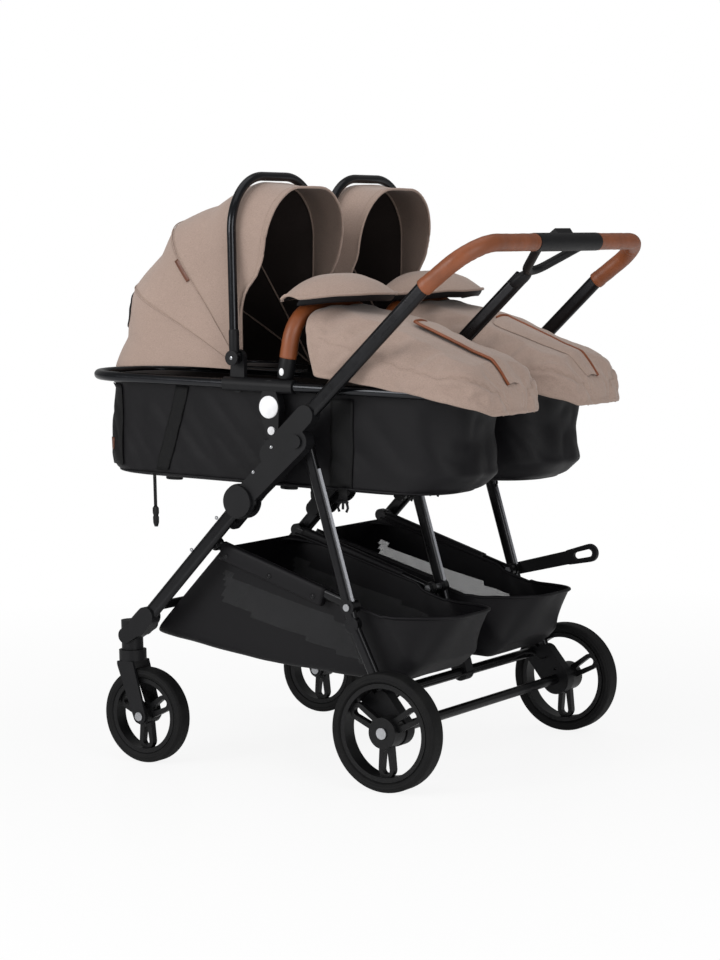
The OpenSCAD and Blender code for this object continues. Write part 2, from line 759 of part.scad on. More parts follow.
// Bracket: cheeks round the front tube's eye, boss on the leg's pivot, sleeve on the handle tube
module bracket(x) difference() {
    plate(x, bracket_t) {
        translate(hinge) circle(hinge_r);
        band(hinge, pivot, bracket_web_r, leg_w);
        band(tube_foot - bracket_lip * tube_way, tube_root + bracket_cover * tube_way,
            tube_w / 2 + bracket_wall, tube_w / 2 + bracket_wall - 1);
    }
    side(x) translate([hinge[0], hinge[1], -slot_t / 2]) cylinder(r = slot_r, h = slot_t);
    side(x) swept([tube_foot, tube_root + 2 * bracket_cover * tube_way]) oval(tube_w, tube_t);
    cross_bar(x - bracket_t, x + bracket_t, hinge, hinge_bolt_d);
    cross_bar(x - bracket_t, x + bracket_t, pivot, leg_bolt_d);
}

module side_brackets() color([0.09, 0.09, 0.1])
    for (s = [1, -1])
        bracket(s * side_x);

module centre_bracket() color([0.09, 0.09, 0.1]) bracket(0);

disc_t = 8;
disc_shy = 3;
nut_t = 2;
hinge_nut_over = 10;
leg_nut_over = 8;
leg_head_over = 16;
leg_head_t = 5;

module hinge_bolt(x, cover_r, cover_t) {
    half = bracket_t / 2;
    cross_bar(x - half, x + half, hinge, hinge_bolt_d);
    cross_bar(x + half, x + half + cover_t, hinge, 2 * cover_r);
    cross_bar(x - half - nut_t, x - half, hinge, hinge_bolt_d + hinge_nut_over);
}

module hinge_bolts() color([0.14, 0.14, 0.15]) {
    for (s = [1, -1])
        on_side(s) hinge_bolt(side_x, hinge_r - disc_shy, disc_t);
    hinge_bolt(0, hinge_bolt_d, nut_t);
}

module leg_bolt(x, head_t) {
    half = bracket_t / 2;
    far = half + run_gap + leg_t + slip_gap;
    cross_bar(x - far, x + half, pivot, leg_bolt_d);
    cross_bar(x + half, x + half + head_t, pivot, leg_bolt_d + leg_head_over);
    cross_bar(x - far - nut_t, x - far, pivot, leg_bolt_d + leg_nut_over);
}

module leg_bolts() color([0.14, 0.14, 0.15]) {
    for (s = [1, -1])
        on_side(s) leg_bolt(side_x, leg_head_t);
    leg_bolt(0, nut_t);
}

/* Front frame */

module front_tube(x, stop) difference() {
    side(x) {
        swept([hinge - eye_sunk * front_way, stop]) oval(tube_w, tube_t);
        eye(hinge, 2 * eye_r, tube_t);
    }
    cross_bar(x - tube_t, x + tube_t, hinge, hinge_bolt_d + 2 * fit_gap);
}

module front_tubes() color([0.2, 0.2, 0.21]) {
    for (s = [1, -1])
        front_tube(s * side_x, front_end);
    difference() {
        front_tube(0, front_cross);
        cross_bar(-tube_t, tube_t, front_cross, front_cross_d);
    }
}

module front_cross_tube() color([0.16, 0.16, 0.17]) difference() {
    end = side_x - tube_t / 2;
    cross_bar(-end, end, front_cross, front_cross_d);
    cross_bar(-end - 1, end + 1, front_cross, front_cross_d - 2 * tube_wall);
}

post_aft = 6;
post_y = hub_y + post_aft;
post_x = rail_hw;
arm_t = 10;
arm_r = 15;
arm_up = 8;
adapter_floor = 8;
boss_d = 24;
adapter_low = [post_y, adapter_z + arm_up];

// One adapter: a socket for the carrycot's post on an arm that is fixed to a front tube
module adapter(x, tube_face) {
    w = post_w + 2 * adapter_wall;
    d = post_d + 2 * adapter_wall;
    difference() {
        union() {
            plate(x, arm_t) band(adapter_foot, adapter_low, arm_r, d / 2);
            translate([x - w / 2, post_y - d / 2, post_z - slip_gap - adapter_floor])
                cube([w, d, adapter_z + adapter_h - post_z + slip_gap + adapter_floor]);
            cross_bar(min(tube_face, x), max(tube_face, x), adapter_foot, boss_d);
        }
        translate([x - post_w / 2 - slip_gap, post_y - post_d / 2 - slip_gap, post_z - slip_gap])
            cube([post_w + 2 * slip_gap, post_d + 2 * slip_gap, 2 * adapter_h]);
    }
}

module seat_adapters() color([0.1, 0.1, 0.11])
    for (s = [1, -1]) on_side(s) {
        adapter(cot_x + post_x, side_x - tube_t / 2);
        adapter(cot_x - post_x, tube_t / 2);
    }

socket_r = 22;
socket_lip = 4;
socket_cover = 24;
web_r = 16;
web_out = 8;
stem_top_gap = 3;

module caster_sockets() color([0.1, 0.1, 0.11])
    for (s = [1, -1]) on_side(s) difference() {
        union() {
            translate([caster_x, caster_y, socket_z]) cylinder(r = socket_r, h = socket_h);
            plate(side_x, bracket_t)
                band(front_end + socket_lip * front_way, front_end - socket_cover * front_way,
                    tube_w / 2 + bracket_wall, tube_w / 2 + bracket_wall - 1);
            plate(caster_x + web_out, 2 * socket_r - web_out)
                band([caster_y, socket_z + socket_h / 2], front_end, web_r, web_r);
        }
        side(side_x) swept([hinge, front_end]) oval(tube_w, tube_t);
        translate([caster_x, caster_y, socket_z - 1])
            cylinder(d = stem_d + 2 * fit_gap, h = stem_l + run_gap + stem_top_gap);
    }

stud_d = 18;

module link_studs() color([0.5, 0.5, 0.52]) {
    for (s = [1, -1]) on_side(s)
        cross_bar(link_x + link_t / 2 + run_gap, side_x - tube_t / 2, link_front, stud_d);
    cross_bar(tube_t / 2, link_mid_x - link_t / 2 - run_gap, link_front, stud_d);
}

// Side outline of a basket, from the front top round the bottom to the rear lip
basket_gap = 2;
basket_out = link_x - link_t / 2 - cap_t - slip_gap - basket_gap;
basket_in = basket_gap
    + max(link_mid_x + link_t / 2 + slip_gap + cap_t, leg_t / 2 + joint_wall - leg_mid_x);
front_face = front_cross_d / 2 + slip_gap;
front_normal = [-front_way[1], front_way[0]];
front_hem = 85;
front_top = link_front + front_face * front_normal;
front_low = front_cross + front_face * front_normal + front_hem * front_way;
low_aft = 41;
low_up = 14;
bulge_aft = 56;
bulge_up = 44;
lip_aft = 140;
lip_up = 153;
rim_aft = 26;
rim_down = 2;
rear_low = cross + [low_aft, cross_d / 2 + low_up];
rear_bulge = rear_low + [bulge_aft, bulge_up];
rear_lip = rear_low + [lip_aft, lip_up];
basket_rim = link_rear + [rim_aft, -rim_down];
basket_steps = 8;
hollow_rise = 60;

function basket_bottom(i) =
    let (t = i / basket_steps, sag = 4 * basket_sag * t * (1 - t))
        mix(front_low, rear_low, t) - [0, sag];

module basket_outline() polygon(concat(
    [front_top], [for (i = [0 : basket_steps]) basket_bottom(i)], [rear_bulge, rear_lip, basket_rim]));

module basket_hollow() {
    w = basket_wall;
    polygon(concat(
        [front_top + [2 * w, hollow_rise], front_top + [1.5 * w, 0], front_low + [2 * w, w]],
        [for (i = [1 : basket_steps - 1]) basket_bottom(i) + [0, w]],
        [rear_low + [-w, w], rear_bulge + [-w, w]],
        [rear_lip + [-1.5 * w, 0], rear_lip + [-1.5 * w, hollow_rise]]));
}

module basket(s) color([0.12, 0.12, 0.13]) on_side(s) {
    wide = basket_out - basket_in;
    mid = (basket_out + basket_in) / 2;
    difference() {
        plate(mid, wide) basket_outline();
        plate(mid, wide - 2 * basket_wall) basket_hollow();
    }
}

module basket_left() basket(1);
module basket_right() basket(-1);

/* Carrycots */

tub_head = head_y + rail_d / 2 + soft_gap;
tub_foot = foot_y - rail_d / 2 - soft_gap;
tub_r = rail_r - rail_d / 2;
// Rings of the tub: height as a share of its depth, how far the head end, foot end and sides draw in
tub_rings = [
    [0, 40, 96, 13], [0.06, 17, 60, 10], [0.2, 13, 28, 6], [0.6, 18, 38, 2], [0.9, 26, 34, 1], [1, 0, 0, 0],
];

function tub_ring(k, wall) = level_ring(
    tub_head + k[1] + wall, tub_foot - k[2] - wall, tub_hw - k[3] - wall, tub_r,
    tub_z + k[0] * (tub_depth - soft_gap) + (k[0] == 0 ? wall : 0));

module tub(s) color([0.11, 0.11, 0.12]) on_cot(s) loft(concat(
    [for (k = tub_rings) tub_ring(k, 0)],
    [for (i = [len(tub_rings) - 1 : -1 : 0]) tub_ring(tub_rings[i], tub_wall)]));

module tub_left() tub(1);
module tub_right() tub(-1);

module rail(s) color([0.22, 0.22, 0.23]) on_cot(s) translate([0, 0, rail_z])
    swept([[rail_hw, head_y], [rail_hw, foot_y], [-rail_hw, foot_y], [-rail_hw, head_y]], rail_r, true)
        difference() {
            circle(d = rail_d);
            circle(d = rail_d - 2 * tube_wall);
        }

module rail_left() rail(1);
module rail_right() rail(-1);

mattress_z = tub_z + tub_wall + slip_gap;
mattress_in = [32, 62, 10];
mattress_gap = 6;
// Rings of the mattress: share of its thickness, how far it draws in
mattress_rings = [[0, 24], [0.2, 8], [0.55, 0], [0.8, 8], [1, 34]];

function mattress_ring(k) = level_ring(
    tub_head + mattress_in[0] + tub_wall + k[1], tub_foot - mattress_in[1] - tub_wall - k[1],
    tub_hw - mattress_in[2] - tub_wall - mattress_gap - k[1], tub_r - mattress_gap,
    mattress_z + k[0] * mattress_h);

module mattress(s) color([0.5, 0.49, 0.47]) on_cot(s) loft([for (k = mattress_rings) mattress_ring(k)]);

module mattress_left() mattress(1);
module mattress_right() mattress(-1);

sleeve_over_pivot = 30;
sleeve_over_hub = 54;
sleeve_fore = hood_pivot[0] - sleeve_over_pivot;
sleeve_back = hub_y + sleeve_over_hub;
mount_t = 11;
mount_r = [17, 16];
hub_t = 20;
hub_r = 25;
hub_neck_r = 12;
post_head_r = [24, 15];
button_t = 7;
button_out = 3;
button_drop = 46;
button_r = 8;
button_travel = 3;
button_at = [post_y, hub_z - button_drop];
button_face = cot_x + post_x + hub_t / 2;
button_floor = button_face + button_out - button_t - button_travel - slip_gap;
bow_pin_d = 10;
bow_pin_end = bow_hw + bow_d / 2 + slip_gap;
mount_x = bow_hw - bow_d / 2 - slip_gap - mount_t / 2;

// One hub: sleeve on the rail, hood bearing, hub lobe and the post that drops into its adapter
module cot_hub(s, outer) {
    on_cot(s) difference() {
        union() {
            translate([outer * rail_hw, sleeve_fore, rail_z]) rotate([-90, 0, 0])
                cylinder(r = sleeve_r, h = sleeve_back - sleeve_fore);
            plate(outer * mount_x, mount_t) band([hood_pivot[0], rail_z], hood_pivot, mount_r[0], mount_r[1]);
            on_side(outer) {
                cross_bar(mount_x, bow_pin_end, hood_pivot, bow_pin_d);
                cross_bar(bow_pin_end, bow_pin_end + cap_t, hood_pivot, bow_d + bolt_cap_over);
            }
            plate(outer * rail_hw, hub_t) band([hub_y, rail_z], hub, hub_neck_r, hub_r);
        }
        translate([outer * rail_hw, sleeve_fore - 1, rail_z]) rotate([-90, 0, 0])
            cylinder(d = rail_d, h = sleeve_back - sleeve_fore + 2);
    }
}

module cot_post(s, outer) on_side(s) difference() {
    union() {
        plate(cot_x + outer * post_x, hub_t) band(hub, button_at, post_head_r[0], post_head_r[1]);
        translate([cot_x + outer * post_x - post_w / 2, post_y - post_d / 2, post_z])
            cube([post_w, post_d, button_at[1] - post_z]);
    }
    if (outer > 0)
        cross_bar(button_floor, button_face + 1, button_at, 2 * (button_r + fit_gap));
}

module hubs(s) color([0.1, 0.1, 0.11])
    for (outer = [1, -1]) {
        cot_hub(s, outer);
        cot_post(s, outer);
    }

module hubs_left() hubs(1);
module hubs_right() hubs(-1);

module release_button(s) color([0.85, 0.84, 0.82]) on_side(s)
    cross_bar(button_face + button_out - button_t, button_face + button_out, button_at, 2 * button_r);

module release_button_left() release_button(1);
module release_button_right() release_button(-1);

// Draws in the bow's plane: x across, y up from the hood's pivot
module bow_plane(s) on_cot(s)
    translate([0, hood_pivot[0], hood_pivot[1]]) rotate([90 - bow_lean, 0, 0]) children();

bow_eye_r = 13;

module bow(s) color([0.13, 0.13, 0.14]) bow_plane(s) difference() {
    union() {
        swept([[bow_hw, 0], [bow_hw, bow_reach], [-bow_hw, bow_reach], [-bow_hw, 0]], bow_bend_r)
            circle(d = bow_d);
        for (x = [-bow_hw, bow_hw])
            translate([x, 0, 0]) rotate([0, 90, 0]) cylinder(r = bow_eye_r, h = bow_d, center = true);
    }
    rotate([0, 90, 0]) cylinder(d = bow_pin_d + 2 * fit_gap, h = 4 * bow_hw, center = true);
}

module bow_left() bow(1);
module bow_right() bow(-1);

// Hood: cloth in straight gores between ribs, each rib an arch that leans from the pivot
// Each rib: lean towards the head in degrees, reach of the arch
hood_gap = 4;
bow_in = bow_reach - bow_d / 2 - slip_gap;
visor_shy = 2;
visor_lean = -12.4;
hood_ribs = [
    [96, 363], [85, 333], [74, 344], [66, 338], [50, 323], [38, 336], [20, 326],
    [-bow_lean, bow_in], [visor_lean, bow_in - visor_shy],
];
// Lean of the visor's edge, by its height as a share of the arch: it leaves the bow a third of the way up
visor_edge = [[0, 1.6], [0.3, 0.8], [0.4, -4], [0.5, -12.5], [0.6, -15], [0.75, -14], [1, visor_lean]];
hood_steps = 20;
hood_corner = 105;
hood_foot = 6;
hood_drop = 26;
hood_hw_low = bow_hw - bow_d / 2 - mount_t - 2 * slip_gap - hood_gap;
hood_hw = bow_hw - bow_d / 2 - hood_gap;
hood_floor = rail_z + rail_d / 2 + slip_gap;

// Point j of an arch with square shoulders of radius hood_corner, as [x, height]
function arch_point(reach, j) =
    let (
        leg = reach - hood_corner - hood_foot,
        bow_len = hood_corner * PI / 2,
        top = 2 * (hood_hw - hood_corner),
        whole = 2 * leg + 2 * bow_len + top,
        at = whole * j / hood_steps,
        half = at <= whole / 2 ? at : whole - at,
        side_sign = at <= whole / 2 ? 1 : -1,
        turn = (half - leg) / hood_corner * 180 / PI
    )
    half < leg
        ? [side_sign * mix(hood_hw_low, hood_hw, half / leg), hood_foot + half]
        : half < leg + bow_len
            ? [
                side_sign * (hood_hw - hood_corner + hood_corner * cos(turn)),
                hood_foot + leg + hood_corner * sin(turn),
            ]
            : [side_sign * (whole / 2 - half), reach];

function hood_point(rib, j, inset) =
    let (
        p = arch_point(rib[1] - inset, j),
        rise = p[1] / rib[1],
        lean = rib[0] < 0 ? lookup(rise, visor_edge) : rib[0],
        x = p[0] * (1 - inset / hood_hw),
        z = hood_pivot[1] - hood_drop * pow(1 - rise, 2) + p[1] * cos(lean)
    )
    [x, hood_pivot[0] - p[1] * sin(lean), max(z, hood_floor)];

module hood(s) color([0.65, 0.57, 0.51]) on_cot(s) shell(
    [for (rib = hood_ribs) [for (j = [0 : hood_steps]) hood_point(rib, j, 0)]],
    [for (rib = hood_ribs) [for (j = [0 : hood_steps]) hood_point(rib, j, hood_t)]]);

module hood_left() hood(1);
module hood_right() hood(-1);

// Bumper bar: an arch that leans back, plugged on the hubs' sleeves
bumper_aft = 26;
bumper_y = hub_y + bumper_aft;
bumper_lean = 9;
bumper_in = 8;
bumper_hw = rail_hw - bumper_in;
bumper_bend_r = 62;
bumper_foot = sleeve_r + slip_gap;
bumper_over = 8;
bumper_rise = bumper_h - bumper_foot - bumper_d / 2;

module bumper(s) color([0.6, 0.35, 0.2]) on_cot(s) translate([0, bumper_y, rail_z + bumper_foot])
    difference() {
        rotate([90 - bumper_lean, 0, 0])
            swept([
                [bumper_hw, -bumper_over], [bumper_hw, bumper_rise],
                [-bumper_hw, bumper_rise], [-bumper_hw, -bumper_over],
            ], bumper_bend_r) circle(d = bumper_d);
        translate([-2 * rail_hw, -rail_hw, -bumper_h]) cube([4 * rail_hw, 2 * rail_hw, bumper_h]);
    }

module bumper_left() bumper(1);
module bumper_right() bumper(-1);

// Apron: padded cover from the bumper bar down to the foot end, with skirts over the rail
apron_rows = 18;
apron_cols = 18;
apron_collar = 6;
apron_fore = bumper_y - apron_collar;
apron_foot_gap = 3;
apron_foot = foot_y + rail_d / 2 + apron_foot_gap;
apron_below = 34;
apron_above = 30;
apron_end_above = 26;
apron_low = rail_z - apron_below;
apron_hem = rail_z + apron_above;
apron_top = rail_z + bumper_h + soft_gap;
apron_end_top = rail_z + apron_end_above;
apron_end_over = 6;
skirt_in = rail_edge + soft_gap;
skirt_t = 6;
apron_corner = 110;
// Length over which the end rounds down, inside and outside, and how squarely
apron_round = [36, 70];
apron_end_power = [4, 2];
// Squareness of the cross section at the collar and at the foot end
apron_square = [0.48, 0.28];
apron_shear = 44;
collar_run = 2 * bumper_d;
// How the rows close up, the hem falls and the top falls towards the foot end
row_power = 2;
top_power = 1.15;
hem_rate = 1.15;
corner_keep = 0.98;
edge_least = 0.5;

function power(v, e) = sign(v) * pow(abs(v), e);

// Grows is 0 on the inner face and 1 on the outer face
function apron_point(i, j, grows) =
    let (
        t = i / apron_rows,
        end = apron_foot + grows * (apron_pad + apron_end_over),
        along = mix(apron_fore, end, 1 - pow(1 - t, row_power)),
        left = max(end - along, 0),
        corner = max(1 - left / apron_corner, 0),
        fall = max(1 - left / apron_round[grows], 0),
        ease = apron_end_power[grows],
        wide = skirt_in + grows * skirt_t - apron_corner * (1 - sqrt(1 - corner * corner * corner_keep)),
        hem = mix(apron_hem, apron_low, min(1, t * hem_rate)),
        past = max(along - apron_fore - collar_run, 0) / (end - apron_fore - collar_run),
        top = mix(apron_top, apron_end_top, 1 - pow(1 - past, top_power)) + grows * apron_pad,
        high = max((top - hem) * pow(1 - pow(fall, ease), 1 / ease), edge_least),
        phi = 180 * j / apron_cols,
        square = mix(apron_square[0], apron_square[1], t),
        rise = power(sin(phi), square),
        shear = apron_shear * (1 - rise) * pow(1 - t, 3)
    )
    [wide * power(cos(phi), square), along + shear, hem + high * rise];

module apron(s) color([0.65, 0.57, 0.51]) on_cot(s) shell(
    [for (i = [0 : apron_rows]) [for (j = [0 : apron_cols]) apron_point(i, j, 1)]],
    [for (i = [0 : apron_rows]) [for (j = [0 : apron_cols]) apron_point(i, j, 0)]]);

module apron_left() apron(1);
module apron_right() apron(-1);

rear_side_legs();
rear_centre_leg();
rear_cross_tube();
rear_axle_tube();
rear_stub_axles();
axle_housings();
centre_leg_bracket();
brake_cable();
link_bolts();
brake_lever();
brake_pin_left();
brake_pin_right();
rear_tyre_left();
rear_rim_left();
rear_tyre_right();
rear_rim_right();
side_links();
handlebar();
handle_tubes();
grips();
handle_sleeve();
handle_yoke();
side_brackets();
centre_bracket();
hinge_bolts();
leg_bolts();
fold_trigger();
front_tubes();
front_cross_tube();
seat_adapters();
caster_sockets();
link_studs();
basket_left();
basket_right();
caster_fork_left();
caster_fork_right();
front_bolt_left();
front_bolt_right();
front_tyre_left();
front_rim_left();
front_tyre_right();
front_rim_right();
tub_left();
rail_left();
hubs_left();
mattress_left();
release_button_left();
bow_left();
hood_left();
bumper_left();
apron_left();
tub_right();
rail_right();
hubs_right();
mattress_right();
release_button_right();
bow_right();
hood_right();
bumper_right();
apron_right();
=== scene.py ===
# %% [markdown]
# # A side-by-side twin pram
# The pram is a folding chassis that carries two lift-off carrycots. Its measured solids come from a
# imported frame, in metres and already in place. This lesson gives the hard solids their finishes and
# puts sewn cloth, leather and padding where the soft solids stand.

import json
import math

import bmesh
import bpy
import numpy as np
from mathutils import Matrix, Vector, noise
from mathutils.bvhtree import BVHTree


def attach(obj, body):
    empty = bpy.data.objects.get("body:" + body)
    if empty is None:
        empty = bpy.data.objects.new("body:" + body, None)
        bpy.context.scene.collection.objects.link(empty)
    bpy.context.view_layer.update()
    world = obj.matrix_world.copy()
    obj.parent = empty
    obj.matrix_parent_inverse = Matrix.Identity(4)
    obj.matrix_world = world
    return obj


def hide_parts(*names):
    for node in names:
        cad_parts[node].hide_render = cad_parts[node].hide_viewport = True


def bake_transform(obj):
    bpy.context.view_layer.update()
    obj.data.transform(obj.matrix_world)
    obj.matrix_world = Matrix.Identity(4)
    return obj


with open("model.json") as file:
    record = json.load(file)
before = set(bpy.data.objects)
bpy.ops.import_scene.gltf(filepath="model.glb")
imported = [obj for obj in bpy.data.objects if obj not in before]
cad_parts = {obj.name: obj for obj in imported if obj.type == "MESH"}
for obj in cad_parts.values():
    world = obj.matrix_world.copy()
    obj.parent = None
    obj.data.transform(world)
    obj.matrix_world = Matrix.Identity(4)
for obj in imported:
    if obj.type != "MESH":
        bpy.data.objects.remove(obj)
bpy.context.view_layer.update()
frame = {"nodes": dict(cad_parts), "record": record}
nodes = frame["nodes"]
SIDES = {"left": 1, "right": -1}

# %% [markdown]
# ## Camera
# A product photograph is taken with a long lens from far away, so parallel edges stay nearly parallel.
# The lens is given by its focal length in pixels of a picture 720 wide and 960 high. The camera's axes
# are written out as vectors, because a small roll is easier to see that way than in Euler angles.

# %% Camera
EYE = Vector((4.3711, 2.8243, 1.0010))
YAW = 0.574547
PITCH = 0.0848371
ROLL = -0.0240573
FOCAL_PIXELS = 2532.83
PICTURE_HEIGHT = 960
SENSOR = 36.0

look = Vector((-math.cos(YAW) * math.cos(PITCH), -math.sin(YAW) * math.cos(PITCH), -math.sin(PITCH)))
level = look.cross(Vector((0, 0, 1))).normalized()
above = level.cross(look)
across = math.cos(ROLL) * level + math.sin(ROLL) * above
upward = math.cos(ROLL) * above - math.sin(ROLL) * level

camera_data = bpy.data.cameras.new("camera")
camera_data.sensor_fit = "VERTICAL"
camera_data.sensor_height = SENSOR
camera_data.lens = FOCAL_PIXELS * SENSOR / PICTURE_HEIGHT
camera = bpy.data.objects.new("camera", camera_data)
camera.matrix_world = Matrix.Translation(EYE) @ Matrix((across, upward, -look)).transposed().to_4x4()
bpy.context.scene.collection.objects.link(camera)
bpy.context.scene.camera = camera
print("lens", round(camera_data.lens, 1), "mm")

# %% [markdown]
# ## Shader maths
# A finish is a small sum: so much noise, times so much contrast, added to a colour. One class wraps a
# socket, so that plus, minus and times add the Math nodes, and one method makes any other node. That
# reads like a formula, where a list of node links would hide it.

# %% A socket that does arithmetic
class Wire:
    """One output socket of a material; arithmetic on it adds Math nodes."""

    def __init__(self, tree, socket):
        self.tree = tree
        self.socket = socket

    def make(self, kind, settings=None, inputs=None, out=0):
        """Adds a node: its settings first, then the values or links of its sockets."""
        node = self.tree.nodes.new(kind)
        for key, value in (settings or {}).items():
            setattr(node, key, value)
        for key, value in (inputs or {}).items():
            if isinstance(value, Wire):
                self.tree.links.new(value.socket, node.inputs[key])
            else:
                node.inputs[key].default_value = value
        return Wire(self.tree, node.outputs[out])

    def math(self, operation, *others):
        return self.make("ShaderNodeMath", {"operation": operation}, dict(enumerate((self, *others))))

    def __add__(self, other):
        return self.math("ADD", other)

    def __mul__(self, other):
        return self.math("MULTIPLY", other)

    def __sub__(self, other):
        return self.math("SUBTRACT", other)

    def __rsub__(self, other):
        return self.make("ShaderNodeMath", {"operation": "SUBTRACT"}, {0: other, 1: self})

    __radd__ = __add__
    __rmul__ = __mul__

    def clipped(self, low, high):
        """Runs from 0 where this is low to 1 where it is high."""
        return self.make("ShaderNodeMapRange", None, {"Value": self, "From Min": low, "From Max": high})

    def noise(self, scale, detail=2.0, stretch=(1, 1, 1)):
        """Noise with so many lumps to the metre, read at these coordinates."""
        place = self.make("ShaderNodeMapping", None, {"Vector": self, "Scale": stretch})
        return place.make("ShaderNodeTexNoise", None, {"Vector": place, "Scale": scale, "Detail": detail})

    def mix(self, first, second):
        """The first colour where this is 0, the second where it is 1."""
        inputs = {0: self, 6: first, 7: second}
        return self.make("ShaderNodeMix", {"data_type": "RGBA"}, inputs, out=2)

    def part(self, axis):
        """One coordinate of a vector."""
        return self.make("ShaderNodeSeparateXYZ", None, {0: self}, out="XYZ".index(axis))


def paint(red, green, blue):
    """A colour as a screen shows it, 0 to 255, turned into light."""
    shown = np.array([red, green, blue]) / 255
    light = np.where(shown <= 0.04045, shown / 12.92, ((shown + 0.055) / 1.055) ** 2.4)
    return (*[float(c) for c in light], 1.0)


def shaded(colour, amount):
    """A colour made lighter or darker by a factor."""
    return (*[min(1.0, c * amount) for c in colour[:3]], 1.0)


def new_finish(name, coordinate="Object"):
    """A fresh material, and the Wire of the coordinates its pattern is read at."""
    finish = bpy.data.materials.new(name)
    finish.use_nodes = True
    tree = finish.node_tree
    where = tree.nodes.new("ShaderNodeTexCoord")
    return finish, Wire(tree, where.outputs[coordinate])


def settle(finish, linked=None, fixed=None, bump=None, depth=0.0):
    """Feeds the Principled shader: linked values, fixed values and a bump in metres."""
    shader = finish.node_tree.nodes["Principled BSDF"]
    for key, value in (fixed or {}).items():
        shader.inputs[key].default_value = value
    for key, wire in (linked or {}).items():
        finish.node_tree.links.new(wire.socket, shader.inputs[key])
    if bump is not None:
        normal = bump.make("ShaderNodeBump", None, {"Height": bump, "Distance": depth, "Strength": 1.0})
        finish.node_tree.links.new(normal.socket, shader.inputs["Normal"])
    return finish

# %% [markdown]
# ## Hard finishes
# The chassis is anodised tube with a satin sheen, the brackets and wheels are moulded nylon with the
# fine grain that a spark-eroded mould leaves, and the bolts are plated steel. All of them are dark, so
# what tells them apart is how they shine: each gets its own roughness and its own grain.

# %% Metal and plastic
NYLON_GLINT = 0.22


def metal(name, colour, rough, shine):
    """Drawn and anodised tube: faint long streaks and a soft cloud of wear."""
    finish, place = new_finish(name)
    streak = place.noise(60, 3, (6, 1, 1))
    cloud = place.noise(9, 2)
    tone = (streak * 0.5 + cloud * 0.5).clipped(0.3, 0.7).mix(shaded(colour, 0.82), shaded(colour, 1.18))
    gloss = streak * 0.16 + cloud * 0.1 + (rough - 0.13)
    fixed = {"Metallic": shine, "Coat Weight": 0.15, "Coat Roughness": 0.12}
    return settle(finish, {"Base Color": tone, "Roughness": gloss}, fixed, streak, 0.0001)


def moulding(name, colour, rough, grain=0.00012, pitch=900):
    """Moulded nylon: an eroded grain and slightly uneven gloss."""
    finish, place = new_finish(name)
    pits = place.noise(pitch, 2)
    cloud = place.noise(14, 3)
    tone = cloud.clipped(0.3, 0.7).mix(shaded(colour, 0.85), shaded(colour, 1.2))
    gloss = pits * 0.2 + cloud * 0.1 + (rough - 0.15)
    linked = {"Base Color": tone, "Roughness": gloss}
    return settle(finish, linked, {"Specular IOR Level": NYLON_GLINT}, pits, grain)


FRAME_METAL = metal("frame_metal", paint(27, 27, 29), 0.3, 0.8)
BLACK_METAL = metal("black_metal", paint(19, 19, 21), 0.34, 0.7)
POLISHED = metal("polished_black", paint(34, 35, 38), 0.2, 0.8)
STEEL = metal("steel", paint(168, 169, 172), 0.3, 1.0)
SILVER = metal("silver_strip", paint(122, 123, 127), 0.36, 1.0)
BLACK_PLASTIC = moulding("black_plastic", paint(17, 17, 19), 0.5)
GREY_PLASTIC = moulding("grey_plastic", paint(26, 26, 28), 0.5)
PALE_PLASTIC = moulding("pale_plastic", paint(226, 226, 228), 0.38, 0.00005)
RIM_PLASTIC = moulding("rim_plastic", paint(15, 15, 16), 0.36, 0.00006)
CABLE = moulding("cable", paint(16, 16, 17), 0.45)
print("hard finishes made")

# %% [markdown]
# ## Tyres
# The tyres are foam-filled rubber, matt, with fine rings that the mould leaves round the wall. Rings
# need the distance from the wheel's own axle, so the rear and the front wheels have a finish each, and
# a Mapping node puts its centre on the axle.

# %% Rubber with rings round an axle
RUBBER_GLINT = 0.2
RINGS_PER_METRE = 900
RING_DEPTH = 0.0004


def rubber(name, axle):
    """Matt rubber with moulded rings round an axle, given as Y and Z."""
    finish, place = new_finish(name)
    centred = place.make("ShaderNodeMapping", None, {"Vector": place, "Location": (0, -axle[0], -axle[1])})
    flat = centred.make("ShaderNodeMapping", None, {"Vector": centred, "Scale": (0, 1, 1)})
    length = flat.make("ShaderNodeVectorMath", {"operation": "LENGTH"}, {0: flat}, out=1)
    rings = (length * RINGS_PER_METRE).math("SINE")
    dust = place.noise(40, 4)
    tone = dust.clipped(0.35, 0.75).mix(paint(12, 12, 13), paint(21, 21, 21))
    linked = {"Base Color": tone, "Roughness": dust * 0.25 + 0.55}
    return settle(finish, linked, {"Specular IOR Level": RUBBER_GLINT}, rings, RING_DEPTH)


REAR_AXLE = (0.274, 0.115)
FRONT_AXLE = (-0.327, 0.097)
TYRES = {"rear": rubber("tyre_rear", REAR_AXLE), "front": rubber("tyre_front", FRONT_AXLE)}
print("two tyre finishes made")

# %% Dress the hard solids
SLOT_FINISH = {
    "frame_metal": FRAME_METAL, "black_metal": BLACK_METAL, "steel": STEEL, "cable": CABLE,
    "black_plastic": BLACK_PLASTIC, "grey_plastic": GREY_PLASTIC, "pale_plastic": PALE_PLASTIC,
    "rim_plastic": RIM_PLASTIC,
}
dressed = 0
for entry in frame["record"]["subparts"]:
    name = entry["node"]
    finish = SLOT_FINISH.get(entry["material_slot"])
    if "tyre" in name:
        finish = TYRES[name.split("_")[0]]
    if name.startswith(("bow_", "rail_")):
        finish = POLISHED
    if finish is not None:
        solid = nodes[name]
        solid.data.materials.clear()
        solid.data.materials.append(finish)
        dressed += 1
print("finishes on", dressed, "solids")

# %% [markdown]
# ## Mesh helpers
# Most soft pieces of a pram are a skin carried along a line (a strap, a grip, a bar) or a skin spread
# over a grid of points (a tub, a hood). Two helpers cover both. Points are written in metres in the
# pram's own frame, so a finished piece sits at the origin and needs no placing.

# %% Skins over grids and along lines
MERGE = 0.00001


